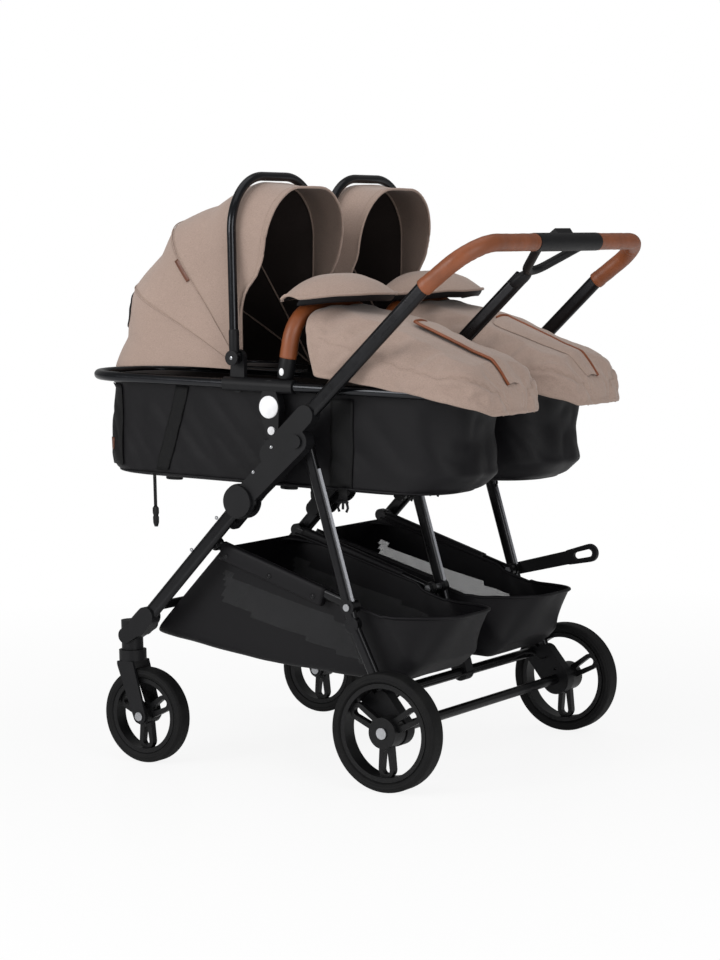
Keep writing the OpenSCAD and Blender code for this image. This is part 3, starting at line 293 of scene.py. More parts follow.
def turn_outwards(mesh):
    """Merges doubled points and makes every face look out, on open sheets and bags too."""
    work = bmesh.new()
    work.from_mesh(mesh)
    bmesh.ops.remove_doubles(work, verts=work.verts, dist=MERGE)
    bmesh.ops.recalc_face_normals(work, faces=work.faces)
    middle = sum((v.co for v in work.verts), Vector()) / len(work.verts)
    outward = sum(f.normal.dot(f.calc_center_median() - middle) * f.calc_area() for f in work.faces)
    if outward < 0:
        bmesh.ops.reverse_faces(work, faces=work.faces)
    work.to_mesh(mesh)
    work.free()


def make_piece(name, points, faces, finish, smooth=True):
    """A new piece at the origin."""
    mesh = bpy.data.meshes.new(name)
    mesh.from_pydata([tuple(p) for p in points], [], faces)
    mesh.materials.append(finish)
    turn_outwards(mesh)
    mesh.polygons.foreach_set("use_smooth", [smooth] * len(mesh.polygons))
    piece = bpy.data.objects.new(name, mesh)
    bpy.context.scene.collection.objects.link(piece)
    return piece


def grid_faces(rows, columns, wrap=False, loop=False):
    """Quads over a grid; wrap closes each row, loop joins the last row to the first."""
    faces = []
    for i in range(rows if loop else rows - 1):
        for j in range(columns if wrap else columns - 1):
            k = (j + 1) % columns
            below = (i + 1) % rows
            faces.append((i * columns + j, i * columns + k, below * columns + k, below * columns + j))
    return faces


def carry(path, section, up, closed=False):
    """Points and faces of a skin that carries a section along a path; it may change with the share."""
    path = [Vector(p) for p in path]
    count = len(path)
    points = []
    for i, at in enumerate(path):
        before = path[i - 1] if closed or i > 0 else at
        after = path[(i + 1) % count] if closed or i < count - 1 else at
        ahead = (after - before).normalized()
        side = ahead.cross(Vector(up[i] if isinstance(up, list) else up)).normalized()
        top = side.cross(ahead)
        outline = section(i / (count - 1)) if callable(section) else section
        points += [at + a * side + b * top for a, b in outline]
    width = len(outline)
    faces = grid_faces(count, width, wrap=True, loop=closed)
    if not closed:
        last = (count - 1) * width
        faces += [tuple(reversed(range(width))), tuple(range(last, last + width))]
    return points, faces


def ring(radius, sides=16, flat=1.0):
    """A round or oval section."""
    turns = [2 * math.pi * k / sides for k in range(sides)]
    return [(radius * math.cos(a), radius * flat * math.sin(a)) for a in turns]


def band(width, thick):
    """A flat section with softened edges, for webbing and flaps."""
    w, t = width / 2, thick / 2
    soft = 0.6
    half = [(w, -t * soft), (w, t * soft), (w - t * soft, t), (0, t), (t * soft - w, t), (-w, t * soft)]
    return half + [(-a, -b) for a, b in half[1:-1]] + [(-w, -t * soft)]


def rounded(corners, radius, steps=10):
    """A path with its corners turned into arcs."""
    corners = [Vector(c) for c in corners]
    path = [corners[0]]
    for before, at, after in zip(corners, corners[1:], corners[2:]):
        back = (before - at).normalized()
        on = (after - at).normalized()
        half = back.angle(on) / 2
        cut = radius / math.tan(half)
        centre = at + (back + on).normalized() * (radius / math.sin(half))
        arm = at + back * cut - centre
        axis = arm.cross(at + on * cut - centre).normalized()
        for k in range(steps + 1):
            path.append(centre + Matrix.Rotation((math.pi - 2 * half) * k / steps, 3, axis) @ arm)
    return path + [corners[-1]]


def runs(points):
    """How far along a line each of its points lies."""
    return np.concatenate([[0], np.cumsum(np.linalg.norm(np.diff(points, axis=0), axis=1))])


def at_runs(points, marks):
    """The points of a line at some runs along it."""
    run = runs(points)
    return np.stack([np.interp(marks, run, points[:, k]) for k in range(3)], axis=1)


def spaced(path, step):
    """The same path with even steps."""
    points = np.array([tuple(p) for p in path])
    whole = runs(points)[-1]
    marks = np.linspace(0, whole, max(2, int(round(whole / step)) + 1))
    return [Vector(p) for p in at_runs(points, marks)]


def stepped(outlines):
    """A section that goes from outline to outline along a path."""
    return lambda share: outlines[int(round(share * (len(outlines) - 1)))]


def joined(*skins):
    """Several skins as one list of points and one of faces."""
    points, faces = [], []
    for more, skin in skins:
        faces += [tuple(k + len(points) for k in face) for face in skin]
        points += list(more)
    return points, faces


def lumps(point, pitch, seed=0.0):
    """Smooth noise of about -1 to 1 with lumps of a size; the seed shifts it."""
    return noise.noise(Vector(point) / pitch + Vector((seed, 2.3 * seed, -1.7 * seed)))


def thicken(piece, depth, inner=None, offset=-1.0):
    """Gives a sheet its thickness, with another finish on its inner face if one is named."""
    solid = piece.modifiers.new("thickness", "SOLIDIFY")
    solid.thickness = depth
    solid.offset = offset
    if inner is not None:
        piece.data.materials.append(inner)
        solid.material_offset = 1
    return piece


def soften(piece, levels=1):
    """One round of subdivision, the same in view and render."""
    skin = piece.modifiers.new("subdivision", "SUBSURF")
    skin.levels = levels
    skin.render_levels = levels
    return piece


def fit(piece, body, slot):
    """Lets a piece ride on a body; the slot is not used."""
    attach(piece, body)


def bevel(piece, width):
    """Rounds the edges of a moulded piece."""
    edge = piece.modifiers.new("bevel", "BEVEL")
    edge.width = width
    edge.segments = 2
    edge.limit_method = "ANGLE"
    return piece


print("helpers ready")

# %% [markdown]
# ## Soft finishes
# The taupe cloth is a melange: pale and dark yarns twisted together, so its flecks are about a
# millimetre long. The black cloth is a tight nylon with a faint sheen, the lining is dark brown, and
# the leather is a smooth coated hide with fine pores and creases. The basket's net is black thread
# with holes, which an Alpha pattern gives.

# %% Cloth, leather, webbing and net
def woven(name, colour, contrast, fleck_pitch, rough, sheen, depth=0.0003):
    """Cloth: flecks of two yarns, long slubs and a fine weave in the bump."""
    finish, place = new_finish(name)
    fleck = place.noise(1 / fleck_pitch, 3)
    slub = place.noise(0.35 / fleck_pitch, 2, (1, 1, 4))
    weave = place.noise(1500, 1, (1, 1, 2.5))
    cloud = place.noise(7, 2)
    yarn = (fleck * 0.6 + slub * 0.4).clipped(0.36, 0.64)
    tone = yarn.mix(shaded(colour, 1 - contrast), shaded(colour, 1 + contrast))
    worn = cloud.clipped(0.25, 0.75).mix((0.93, 0.93, 0.93, 1), (1, 1, 1, 1))
    blended = tone.make("ShaderNodeMix", {"data_type": "RGBA", "blend_type": "MULTIPLY"},
                        {0: 1.0, 6: tone, 7: worn}, out=2)
    fixed = {"Sheen Weight": sheen, "Sheen Roughness": 0.45, "Specular IOR Level": 0.2}
    linked = {"Base Color": blended, "Roughness": fleck * 0.12 + (rough - 0.06)}
    return settle(finish, linked, fixed, weave * 0.5 + fleck * 0.5, depth)


def hide(name, colour):
    """Coated leather: pores, long creases and a cloudy dye."""
    finish, place = new_finish(name)
    pores = place.make("ShaderNodeTexVoronoi", None, {"Vector": place, "Scale": 620.0})
    crease = place.noise(70, 4)
    cloud = place.noise(18, 3)
    dye = cloud.clipped(0.3, 0.7).mix(shaded(colour, 0.78), shaded(colour, 1.16))
    fixed = {"Coat Weight": 0.12, "Coat Roughness": 0.35, "Specular IOR Level": 0.45}
    linked = {"Base Color": dye, "Roughness": crease * 0.25 + 0.32}
    return settle(finish, linked, fixed, pores * 0.5 + crease, 0.0004)


def netting(name, colour, pitch, thread):
    """Net: two sets of threads on the side view's Y and Z, clear between them."""
    finish, place = new_finish(name)
    turn = 2 * math.pi / pitch
    waves = [(place.part(axis) * turn).math("SINE").math("ABSOLUTE") for axis in "YZ"]
    hole = waves[0].math("MINIMUM", waves[1]).clipped(thread, thread + 0.15)
    dust = place.noise(30, 2)
    tone = dust.clipped(0.3, 0.7).mix(shaded(colour, 0.8), shaded(colour, 1.3))
    return settle(finish, {"Base Color": tone, "Alpha": 1 - hole * 0.92, "Roughness": dust * 0.2 + 0.6})


TAUPE = woven("taupe_fabric", paint(156, 136, 125), 0.16, 0.0013, 0.86, 0.18)
BLACK_CLOTH = woven("black_fabric", paint(14, 13, 16), 0.22, 0.0011, 0.5, 0.0)
LINING = woven("lining_fabric", paint(34, 27, 25), 0.2, 0.0012, 0.75, 0.08)
MATTRESS_CLOTH = woven("mattress_fabric", paint(188, 182, 174), 0.08, 0.0016, 0.9, 0.2)
WEBBING = woven("webbing", paint(11, 11, 12), 0.3, 0.0018, 0.6, 0.0, 0.0006)
LEATHER = hide("leather", paint(124, 66, 33))
DARK_LEATHER = hide("dark_leather", paint(88, 46, 25))
NET = netting("net", paint(30, 30, 32), 0.0042, 0.42)
THREAD = moulding("thread", paint(142, 124, 110), 0.8)
print("soft finishes made")

# %% [markdown]
# ## Stitches and rivets
# A sewing machine sets one stitch every three millimetres along a seam, and a rivet gun sets the same
# rivet at each marked point. Both repeat, so Geometry Nodes place them: one tree walks along a line,
# the other stands on points and looks the way each point faces.

# %% Two trees that repeat
def grow(tree, kind, settings=None, inputs=None):
    """Adds a node to a geometry tree: settings first, then values or links."""
    node = tree.nodes.new(kind)
    for key, value in (settings or {}).items():
        setattr(node, key, value)
    for key, value in (inputs or {}).items():
        if isinstance(value, bpy.types.NodeSocket):
            tree.links.new(value, node.inputs[key])
        else:
            node.inputs[key].default_value = value
    return node


def start_tree(name, inputs):
    """A geometry tree with named inputs; the first is the geometry it works on."""
    tree = bpy.data.node_groups.new(name, "GeometryNodeTree")
    for label, kind in inputs:
        tree.interface.new_socket(label, in_out="INPUT", socket_type="NodeSocket" + kind)
    tree.interface.new_socket("Result", in_out="OUTPUT", socket_type="NodeSocketGeometry")
    return tree, tree.nodes.new("NodeGroupInput").outputs


def end_tree(tree, placed, finish):
    """Makes the copies real, dyes them and hands them out."""
    real = grow(tree, "GeometryNodeRealizeInstances", None, {"Geometry": placed})
    dyed = grow(tree, "GeometryNodeSetMaterial", None, {"Geometry": real.outputs[0], "Material": finish})
    smooth = grow(tree, "GeometryNodeSetShadeSmooth", None, {"Geometry": dyed.outputs[0]})
    grow(tree, "NodeGroupOutput", None, {"Result": smooth.outputs[0]})
    return tree


SIZES = [("Length", "Float"), ("Width", "Float"), ("Finish", "Material")]


def sized(tree, shape, given):
    """A unit shape scaled to the given width and length."""
    width = given["Width"]
    size = grow(tree, "ShaderNodeCombineXYZ", None, {0: width, 1: width, 2: given["Length"]})
    inputs = {"Geometry": shape.outputs[0], "Scale": size.outputs[0]}
    return grow(tree, "GeometryNodeTransform", None, inputs).outputs[0]


def set_on(tree, marks, shape, facing):
    """Copies of a shape on points, each turned to face its way."""
    turn = grow(tree, "FunctionNodeAlignRotationToVector", {"axis": "Z"}, {"Vector": facing.outputs[0]})
    inputs = {"Points": marks, "Instance": shape, "Rotation": turn.outputs[0]}
    return grow(tree, "GeometryNodeInstanceOnPoints", None, inputs).outputs[0]


def stitch_tree():
    tree, given = start_tree("stitches", [("Seam", "Geometry"), ("Pitch", "Float")] + SIZES)
    line = grow(tree, "GeometryNodeMeshToCurve", None, {"Mesh": given["Seam"]})
    marks = grow(tree, "GeometryNodeResampleCurve", {"mode": "LENGTH"},
                 {"Curve": line.outputs[0], "Length": given["Pitch"]})
    bead = grow(tree, "GeometryNodeMeshIcoSphere", None, {"Radius": 0.5, "Subdivisions": 1})
    ahead = grow(tree, "GeometryNodeInputTangent")
    placed = set_on(tree, marks.outputs[0], sized(tree, bead, given), ahead)
    return end_tree(tree, placed, given["Finish"])


def rivet_tree():
    tree, given = start_tree("rivets", [("Marks", "Geometry")] + SIZES)
    dome = grow(tree, "GeometryNodeMeshUVSphere", None, {"Segments": 14, "Rings": 7, "Radius": 0.5})
    settings = {"data_type": "FLOAT_VECTOR"}
    facing = grow(tree, "GeometryNodeInputNamedAttribute", settings, {"Name": "facing"})
    placed = set_on(tree, given["Marks"], sized(tree, dome, given), facing)
    return end_tree(tree, placed, given["Finish"])


def run_tree(name, mesh, tree, values):
    """Runs a tree on a carrier mesh and keeps the result as a plain piece."""
    carrier = bpy.data.objects.new(name + "_carrier", mesh)
    bpy.context.scene.collection.objects.link(carrier)
    modifier = carrier.modifiers.new("tree", "NODES")
    modifier.node_group = tree
    for item in tree.interface.items_tree:
        if item.in_out == "INPUT" and item.name in values:
            modifier[item.identifier] = values[item.name]
    graph = bpy.context.evaluated_depsgraph_get()
    made = bpy.data.meshes.new_from_object(carrier.evaluated_get(graph))
    bpy.data.objects.remove(carrier)
    piece = bpy.data.objects.new(name, made)
    bpy.context.scene.collection.objects.link(piece)
    return piece


STITCHES = stitch_tree()
RIVETS = rivet_tree()


def sew(name, seams, finish=THREAD, pitch=0.0042, length=0.003, width=0.0009):
    """Stitches along a list of seam lines."""
    mesh = bpy.data.meshes.new(name)
    points = [tuple(p) for seam in seams for p in seam]
    edges = []
    start = 0
    for seam in seams:
        edges += [(start + k, start + k + 1) for k in range(len(seam) - 1)]
        start += len(seam)
    mesh.from_pydata(points, edges, [])
    values = {"Pitch": pitch, "Length": length, "Width": width, "Finish": finish}
    return run_tree(name, mesh, STITCHES, values)


def rivet(name, marks, finish=STEEL, width=0.008, height=0.005):
    """Domed rivets on marks, each a point and the way it faces."""
    mesh = bpy.data.meshes.new(name)
    mesh.from_pydata([tuple(m[0]) for m in marks], [], [])
    facing = mesh.attributes.new("facing", "FLOAT_VECTOR", "POINT")
    facing.data.foreach_set("vector", [float(v) for m in marks for v in m[1]])
    return run_tree(name, mesh, RIVETS, {"Length": height, "Width": width, "Finish": finish})


print("trees ready:", STITCHES.name, "and", RIVETS.name)

# %% [markdown]
# ## Carrycot tubs
# A carrycot's tub is black nylon cloth that hangs from the rail. It is a lofted bag: a rounded oblong
# at the rim that narrows to the floor, with loose vertical folds. Rings of points at several heights
# give the loft, smooth noise pushes the cloth inwards in folds, and Solidify adds the lining.

# %% Places on a carrycot
COT_X = 0.171
TILT = math.radians(2.5)
HUB = Vector((0, -0.006, 0.728))
RAIL_Z = 0.769


def on_cot(point, side):
    """A point of a level carrycot at x = 0, tipped about its hubs and moved to its side."""
    tipped = Matrix.Rotation(-TILT, 3, "X") @ (Vector(point) - HUB) + HUB
    return tipped + Vector((SIDES[side] * COT_X, 0, 0))


def on_cots(name, body, points, faces, finish, slot=None):
    """The same piece on both carrycots, the right one mirrored, with a body if named; the slot is not used.
    """
    made = []
    for side, sign in SIDES.items():
        placed = [on_cot((sign * p[0], p[1], p[2]), side) for p in points]
        piece = make_piece(f"{name}_{side}", placed, faces, finish)
        if body:
            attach(piece, f"{body}_{side}")
        made.append(piece)
    return made


# %% Tub cloth
TUB_TOP = 0.7675
TUB_LOW = 0.569
TUB_HEAD = -0.479
TUB_FOOT = 0.430
TUB_HALF = 0.1255
TUB_CORNER = 0.095
TUB_SHARE = [0, 0.06, 0.2, 0.6, 0.9, 1]
TUB_HEAD_IN = [0.040, 0.017, 0.013, 0.018, 0.026, 0]
TUB_FOOT_IN = [0.096, 0.060, 0.028, 0.038, 0.034, 0]
TUB_SIDE_IN = [0.013, 0.010, 0.006, 0.002, 0.001, 0]
CORNER_STEPS = 12
SIDE_STEPS = 64
END_STEPS = 8
TUB_ROWS = 26
TUB_CLOTH = 0.0035


def oblong(head, foot, half, corner):
    """A level ring with rounded corners, with fixed counts on each corner, side and end."""
    ring_points = []
    for k, (sx, sy) in enumerate(((1, 1), (-1, 1), (-1, -1), (1, -1))):
        centre = Vector((sx * (half - corner), foot - corner if sy > 0 else head + corner))
        for step in range(CORNER_STEPS + 1):
            turn = math.pi / 2 * (k + step / CORNER_STEPS)
            ring_points.append(centre + corner * Vector((math.cos(turn), math.sin(turn))))
        last = ring_points[-1]
        if k % 2 == 0:
            run = Vector((-2 * sx * (half - corner), 0))
        else:
            run = Vector((0, -sy * (foot - head - 2 * corner)))
        steps = END_STEPS if k % 2 == 0 else SIDE_STEPS
        ring_points += [last + run * (s / steps) for s in range(1, steps)]
    return ring_points


def tub_ring(share, grow=0.0):
    """The tub's ring at a share of its height, moved outwards by grow."""
    head = TUB_HEAD + np.interp(share, TUB_SHARE, TUB_HEAD_IN) - grow
    foot = TUB_FOOT - np.interp(share, TUB_SHARE, TUB_FOOT_IN) + grow
    half = TUB_HALF - np.interp(share, TUB_SHARE, TUB_SIDE_IN) + grow
    return oblong(head, foot, half, TUB_CORNER + grow)


def tub_fold(x, y, z):
    """How far the cloth is pushed in: broad upright folds, slanted creases and small crumples."""
    along = y + 0.25 * (z - TUB_LOW)
    folds = 0.5 + 0.5 * lumps((x * 0.6, along, z * 0.22), 0.055, 1)
    slant = (1 - abs(lumps((x, y + 0.9 * z, (z - y) * 0.25), 0.050, 3))) ** 3
    small = 0.5 + 0.5 * lumps((x, y, z), 0.014, 5)
    free = math.sin(math.pi * min(1.0, max(0.0, (z - TUB_LOW) / (TUB_TOP - TUB_LOW)))) ** 0.6
    return free * (0.0062 * folds + 0.0050 * slant + 0.0008 * small)


def tub_points():
    points = []
    for i in range(TUB_ROWS):
        share = (i / (TUB_ROWS - 1)) ** 1.25
        z = TUB_LOW + share * (TUB_TOP - TUB_LOW)
        level = tub_ring(share)
        middle = sum(level, Vector((0, 0))) / len(level)
        for j, p in enumerate(level):
            tangent = level[(j + 1) % len(level)] - level[j - 1]
            inward = Vector((-tangent.y, tangent.x)).normalized()
            if inward.dot(middle - p) < 0:
                inward = -inward
            q = p + inward * tub_fold(p.x, p.y, z)
            points.append((q.x, q.y, z))
    return points


tub_cloth = tub_points()
ring_count = len(tub_cloth) // TUB_ROWS
tub_faces = grid_faces(TUB_ROWS, ring_count, wrap=True)
FLOOR_RINGS = (0.7, 0.4, 0.1)
floor_middle = Vector((0, (TUB_HEAD + TUB_FOOT) / 2, TUB_LOW))
for shrink in FLOOR_RINGS:
    for p in tub_cloth[:ring_count]:
        tub_cloth.append(tuple(floor_middle + (Vector(p) - floor_middle) * shrink))
first_floor = TUB_ROWS * ring_count
for k in range(len(FLOOR_RINGS)):
    outer_start = 0 if k == 0 else first_floor + (k - 1) * ring_count
    inner_start = first_floor + k * ring_count
    for j in range(ring_count):
        n = (j + 1) % ring_count
        tub_faces.append((outer_start + n, outer_start + j, inner_start + j, inner_start + n))
centre_start = first_floor + (len(FLOOR_RINGS) - 1) * ring_count
tub_faces.append(tuple(range(centre_start, centre_start + ring_count)))
for side, tub in zip(SIDES, on_cots("tub_cloth", "carrycot", tub_cloth, tub_faces, BLACK_CLOTH)):
    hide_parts(f"tub_{side}")
    thicken(tub, TUB_CLOTH, LINING)
    soften(tub)
print("tub cloth:", len(tub_cloth), "points a side")

# %% Piping round the tub
PIPE_R = 0.0028
PIPE_SHARE = 0.02
PIPE_OUT = 0.0005
PIPE_UP = 0.006
pipe_line = [Vector((p.x, p.y, TUB_LOW + PIPE_UP)) for p in tub_ring(PIPE_SHARE, PIPE_OUT)]
tub_pipe = carry(pipe_line, ring(PIPE_R, 8), (0, 0, 1), closed=True)
on_cots("tub_piping", "carrycot", *tub_pipe, BLACK_CLOTH, "black_fabric")
print("piping round the floor seam")

# %% [markdown]
# ## Mattress
# A thin foam pad in a pale cotton cover lies on the tub's floor. It is a cushion: crowned in the
# middle, rounded at its edge. The cloth solver swells it from a slightly smaller block.

# %% Mattress block
MATTRESS_Z = 0.5755
MATTRESS_H = 0.031
MATTRESS_IN = [0.038, 0.068, 0.022]
MATTRESS_EDGE = [(0, 0.024), (0.2, 0.009), (0.5, 0.001), (0.8, 0.009), (1, 0.034)]
MATTRESS_START = 0.006
PAD_VOXEL = 0.006
PAD_PRESSURE = 3.0
PAD_CAP = 0.006


def mattress_points():
    points = []
    for share, inset in MATTRESS_EDGE:
        inset = inset + MATTRESS_START
        level = oblong(TUB_HEAD + MATTRESS_IN[0] + inset, TUB_FOOT - MATTRESS_IN[1] - inset,
                       TUB_HALF - MATTRESS_IN[2] - inset, TUB_CORNER - 0.02 - inset / 2)
        z = MATTRESS_Z + MATTRESS_START / 2 + share * (MATTRESS_H - MATTRESS_START)
        points += [(p.x, p.y, z) for p in level]
    return points


def remesh(piece, voxel):
    """Voxel remesh, applied."""
    shell = piece.modifiers.new("remesh", "REMESH")
    shell.mode = "VOXEL"
    shell.voxel_size = voxel
    bake(piece)


def bake(piece):
    """Applies every modifier on a piece."""
    graph = bpy.context.evaluated_depsgraph_get()
    made = bpy.data.meshes.new_from_object(piece.evaluated_get(graph))
    made.polygons.foreach_set("use_smooth", [True] * len(made.polygons))
    piece.modifiers.clear()
    old = piece.data
    piece.data = made
    bpy.data.meshes.remove(old)


FRAMES = 18


def swell(piece, pressure, cap, pins=None, grow=0.0, bend=0.5):
    """Swells a cloth piece with inner pressure; no point moves further than cap."""
    before = [v.co.copy() for v in piece.data.vertices]
    cloth = piece.modifiers.new("cloth", "CLOTH")
    settings = cloth.settings
    settings.quality = 5
    settings.mass = 0.25
    settings.tension_stiffness = 12
    settings.compression_stiffness = 8
    settings.shear_stiffness = 4
    settings.bending_stiffness = bend
    settings.use_pressure = True
    settings.uniform_pressure_force = pressure
    settings.effector_weights.gravity = 0
    settings.shrink_min = -grow
    if pins is not None:
        group = piece.vertex_groups.new(name="pins")
        for index, weight in pins:
            group.add([index], weight, "REPLACE")
        settings.vertex_group_mass = "pins"
    cloth.point_cache.frame_start = 1
    cloth.point_cache.frame_end = FRAMES
    for step in range(1, FRAMES + 1):
        bpy.context.scene.frame_set(step)
    bake(piece)
    bpy.context.scene.frame_set(1)
    for vertex, start in zip(piece.data.vertices, before):
        move = vertex.co - start
        if move.length > cap:
            vertex.co = start + move * (cap / move.length)


def plain_mesh(piece):
    """A piece's points and faces as plain lists; the piece is removed."""
    points = [tuple(v.co) for v in piece.data.vertices]
    faces = [tuple(p.vertices) for p in piece.data.polygons]
    bpy.data.objects.remove(piece)
    return points, faces


block_rows = mattress_points()
level_count = len(block_rows) // len(MATTRESS_EDGE)
block_faces = grid_faces(len(MATTRESS_EDGE), level_count, wrap=True)
block_faces.append(tuple(reversed(range(level_count))))
block_faces.append(tuple(range(len(block_rows) - level_count, len(block_rows))))
pad = make_piece("mattress_pad", block_rows, block_faces, MATTRESS_CLOTH)
remesh(pad, PAD_VOXEL)
swell(pad, PAD_PRESSURE, PAD_CAP)
pad_points, pad_faces = plain_mesh(pad)
for side, pad in zip(SIDES, on_cots("mattress_pad", "carrycot", pad_points, pad_faces, MATTRESS_CLOTH)):
    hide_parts(f"mattress_{side}")
    soften(pad)
print("mattress:", len(pad_points), "points")

# %% [markdown]
# ## Hoods
# The hood is taupe cloth stretched over hidden ribs. Between two ribs the cloth runs nearly straight,
# and at a rib it bends, so the outline is a chain of soft corners. One continuous sheet is spread over
# the ribs, each an arch that leans from the pivot, and it sags a little between them.

# %% Hood form
HOOD_PIVOT = (-0.088, 0.821)
BOW_LEAN = 2.3
VISOR_LEAN = -12.4
HOOD_RIBS = [(96, 0.363), (85, 0.333), (74, 0.344), (66, 0.338), (50, 0.323), (38, 0.336), (20, 0.326),
             (BOW_LEAN, 0.3467), (VISOR_LEAN, 0.3447)]
VISOR_RISE = (0, 0.3, 0.4, 0.5, 0.6, 0.75, 1)
VISOR_EDGE = (1.6, 0.8, -4, -12.5, -15, -14, VISOR_LEAN)
HOOD_SEAMS = (3, 5)
BOW_RIB = 7
VISOR_RIB = 8
HOOD_LOW = 0.1264
HOOD_HALF = 0.138
HOOD_CORNER = 0.105
HOOD_FOOT = 0.006
HOOD_DROP = 0.026
HOOD_HEM = 0.7795
HOOD_SIDE_STEPS = 18
HOOD_ARC_STEPS = 14
HOOD_TOP_STEPS = 6
RIB_STEPS = 7


def arch(reach):
    """An arch in its own plane: x across, h up from the pivot."""
    line = []
    top = reach - HOOD_CORNER
    for k in range(HOOD_SIDE_STEPS):
        share = k / HOOD_SIDE_STEPS
        line.append((HOOD_LOW + (HOOD_HALF - HOOD_LOW) * share, HOOD_FOOT + share * (top - HOOD_FOOT)))
    inner = HOOD_HALF - HOOD_CORNER
    for k in range(HOOD_ARC_STEPS + 1):
        turn = math.pi / 2 * k / HOOD_ARC_STEPS
        line.append((inner + HOOD_CORNER * math.cos(turn), top + HOOD_CORNER * math.sin(turn)))
    half = len(line)
    line += [(inner * (1 - 2 * k / HOOD_TOP_STEPS), reach) for k in range(1, HOOD_TOP_STEPS)]
    return line + [(-x, h) for x, h in reversed(line[:half])]


def hood_row(place):
    """The ribs' form at a place counted in ribs from the head."""
    rib = min(int(place), len(HOOD_RIBS) - 2)
    share = place - rib
    (lean, reach), (next_lean, next_reach) = HOOD_RIBS[rib], HOOD_RIBS[rib + 1]
    reach += share * (next_reach - reach)
    row = []
    for x, h in arch(reach):
        rise = h / reach
        goal = float(np.interp(rise, VISOR_RISE, VISOR_EDGE)) if rib == BOW_RIB else next_lean
        turn = math.radians(lean + share * (goal - lean))
        y = HOOD_PIVOT[0] - h * math.sin(turn)
        z = HOOD_PIVOT[1] - HOOD_DROP * (1 - rise) ** 2 + h * math.cos(turn)
        row.append(Vector((x, y, max(z, HOOD_HEM))))
    return row


def hood_sag(place):
    """Deepest midway between two sewn seams, nothing on them."""
    stops = (0, *HOOD_SEAMS, BOW_RIB, VISOR_RIB)
    for low, high in zip(stops, stops[1:]):
        if low <= place <= high:
            return math.sin(math.pi * (place - low) / (high - low))
    return 0.0


HOOD_SAG = 0.006
HOOD_FADE = 0.12
BOW_PUSH = 0.003
BOW_SPAN = 0.5


def hood_skin(place, lift=0.0):
    """The sewn cloth's row at a place: sagged, creased, pushed out under the bow, moved out by lift."""
    axis = Vector((0, *HOOD_PIVOT))
    push = BOW_PUSH * math.exp(-((place - BOW_RIB) / BOW_SPAN) ** 2)
    row = []
    for p in hood_row(place):
        inward = (axis - p).normalized()
        high = min(1.0, max(0.0, (p.z - HOOD_HEM) / HOOD_FADE))
        crease = lumps((p.x, p.y * 1.6, p.z * 0.7), 0.05, 2) * 0.0016 + lumps(p, 0.017, 4) * 0.0005
        aside = Vector((math.copysign(push, p.x) * (p.x / HOOD_HALF) ** 4, 0, 0))
        row.append(p + aside + inward * (high * (HOOD_SAG * hood_sag(place) + 0.001 + crease) - lift))
    return row


print("hood ribs:", len(HOOD_RIBS))

# %% [markdown]
# When the bow swings back, the hood's head end stays on the tub and its front follows the bow, so the
# cloth gathers in between. Here each hood piece, seams and vent too, is built at rest, and its modifiers
# and its place are written into its mesh.

# %% Hood cloth
HOOD_CLOTH = 0.003
# The visor's lining is a cloth made darker than the outer taupe: painted shade for the underside, which
# gets less light.
SHADED_VISOR_LINING = woven("visor_lining_painted_shade", paint(120, 104, 95), 0.12, 0.0013, 0.85, 0.1)


def on_hoods(name, points, faces, finish, slot, finishing=None):
    """The same soft piece on both hoods, finished, with its modifiers and place written into its mesh."""
    made = on_cots(name, None, points, faces, finish)
    for side, piece in zip(SIDES, made):
        if finishing:
            finishing(piece)
        follow_hood(piece, slot)
    return made


def follow_hood(piece, slot):
    bake(piece)
    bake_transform(piece)


def flat_area(piece):
    """The area of a sheet before it has a thickness."""
    return sum(polygon.area for polygon in piece.data.polygons)


HOOD_ROWS = [k / RIB_STEPS for k in range(RIB_STEPS * VISOR_RIB + 1)]
hood_sheet = [tuple(p) for place in HOOD_ROWS for p in hood_skin(place)]
hood_width = len(hood_sheet) // len(HOOD_ROWS)
hood_cut_area = []


def line_hood(hood):
    """Thickness, with dark lining behind the bow and a paler lining under the visor, darkened as painted
    shade.
    """
    hood_cut_area.append(flat_area(hood))
    thicken(hood, HOOD_CLOTH, LINING)
    hood.data.materials.append(TAUPE)
    hood.data.materials.append(SHADED_VISOR_LINING)
    first_visor = RIB_STEPS * BOW_RIB * (hood_width - 1)
    for polygon in hood.data.polygons[first_visor:]:
        polygon.material_index = 2
    soften(hood)


hood_faces = grid_faces(len(HOOD_ROWS), hood_width)
hoods = on_hoods("hood_sheet", hood_sheet, hood_faces, TAUPE, "taupe_fabric", line_hood)
for side, hood, area in zip(SIDES, hoods, hood_cut_area):
    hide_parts(f"hood_{side}")
print("hood sheet:", len(HOOD_ROWS), "rows of", hood_width, "area", round(area, 3))

# %% Seams, binding and inner ribs
PIPING_R = 0.0011
BINDING_R = 0.0028
INNER_RIB_R = 0.002
STITCH_AWAY = 0.055
PIPING_OUT, BINDING_OUT, RIB_OUT, STITCH_OUT = 0.0006, -0.001, -0.0055, 0.0004
BOW_STITCH, VISOR_STITCH = 0.12, 0.14


def hood_tube(places, lift, radius):
    """Round tubes along the cloth at some places."""
    return joined(*[carry(hood_skin(place, lift), ring(radius, 8), (0, 0.2, 1)) for place in places])


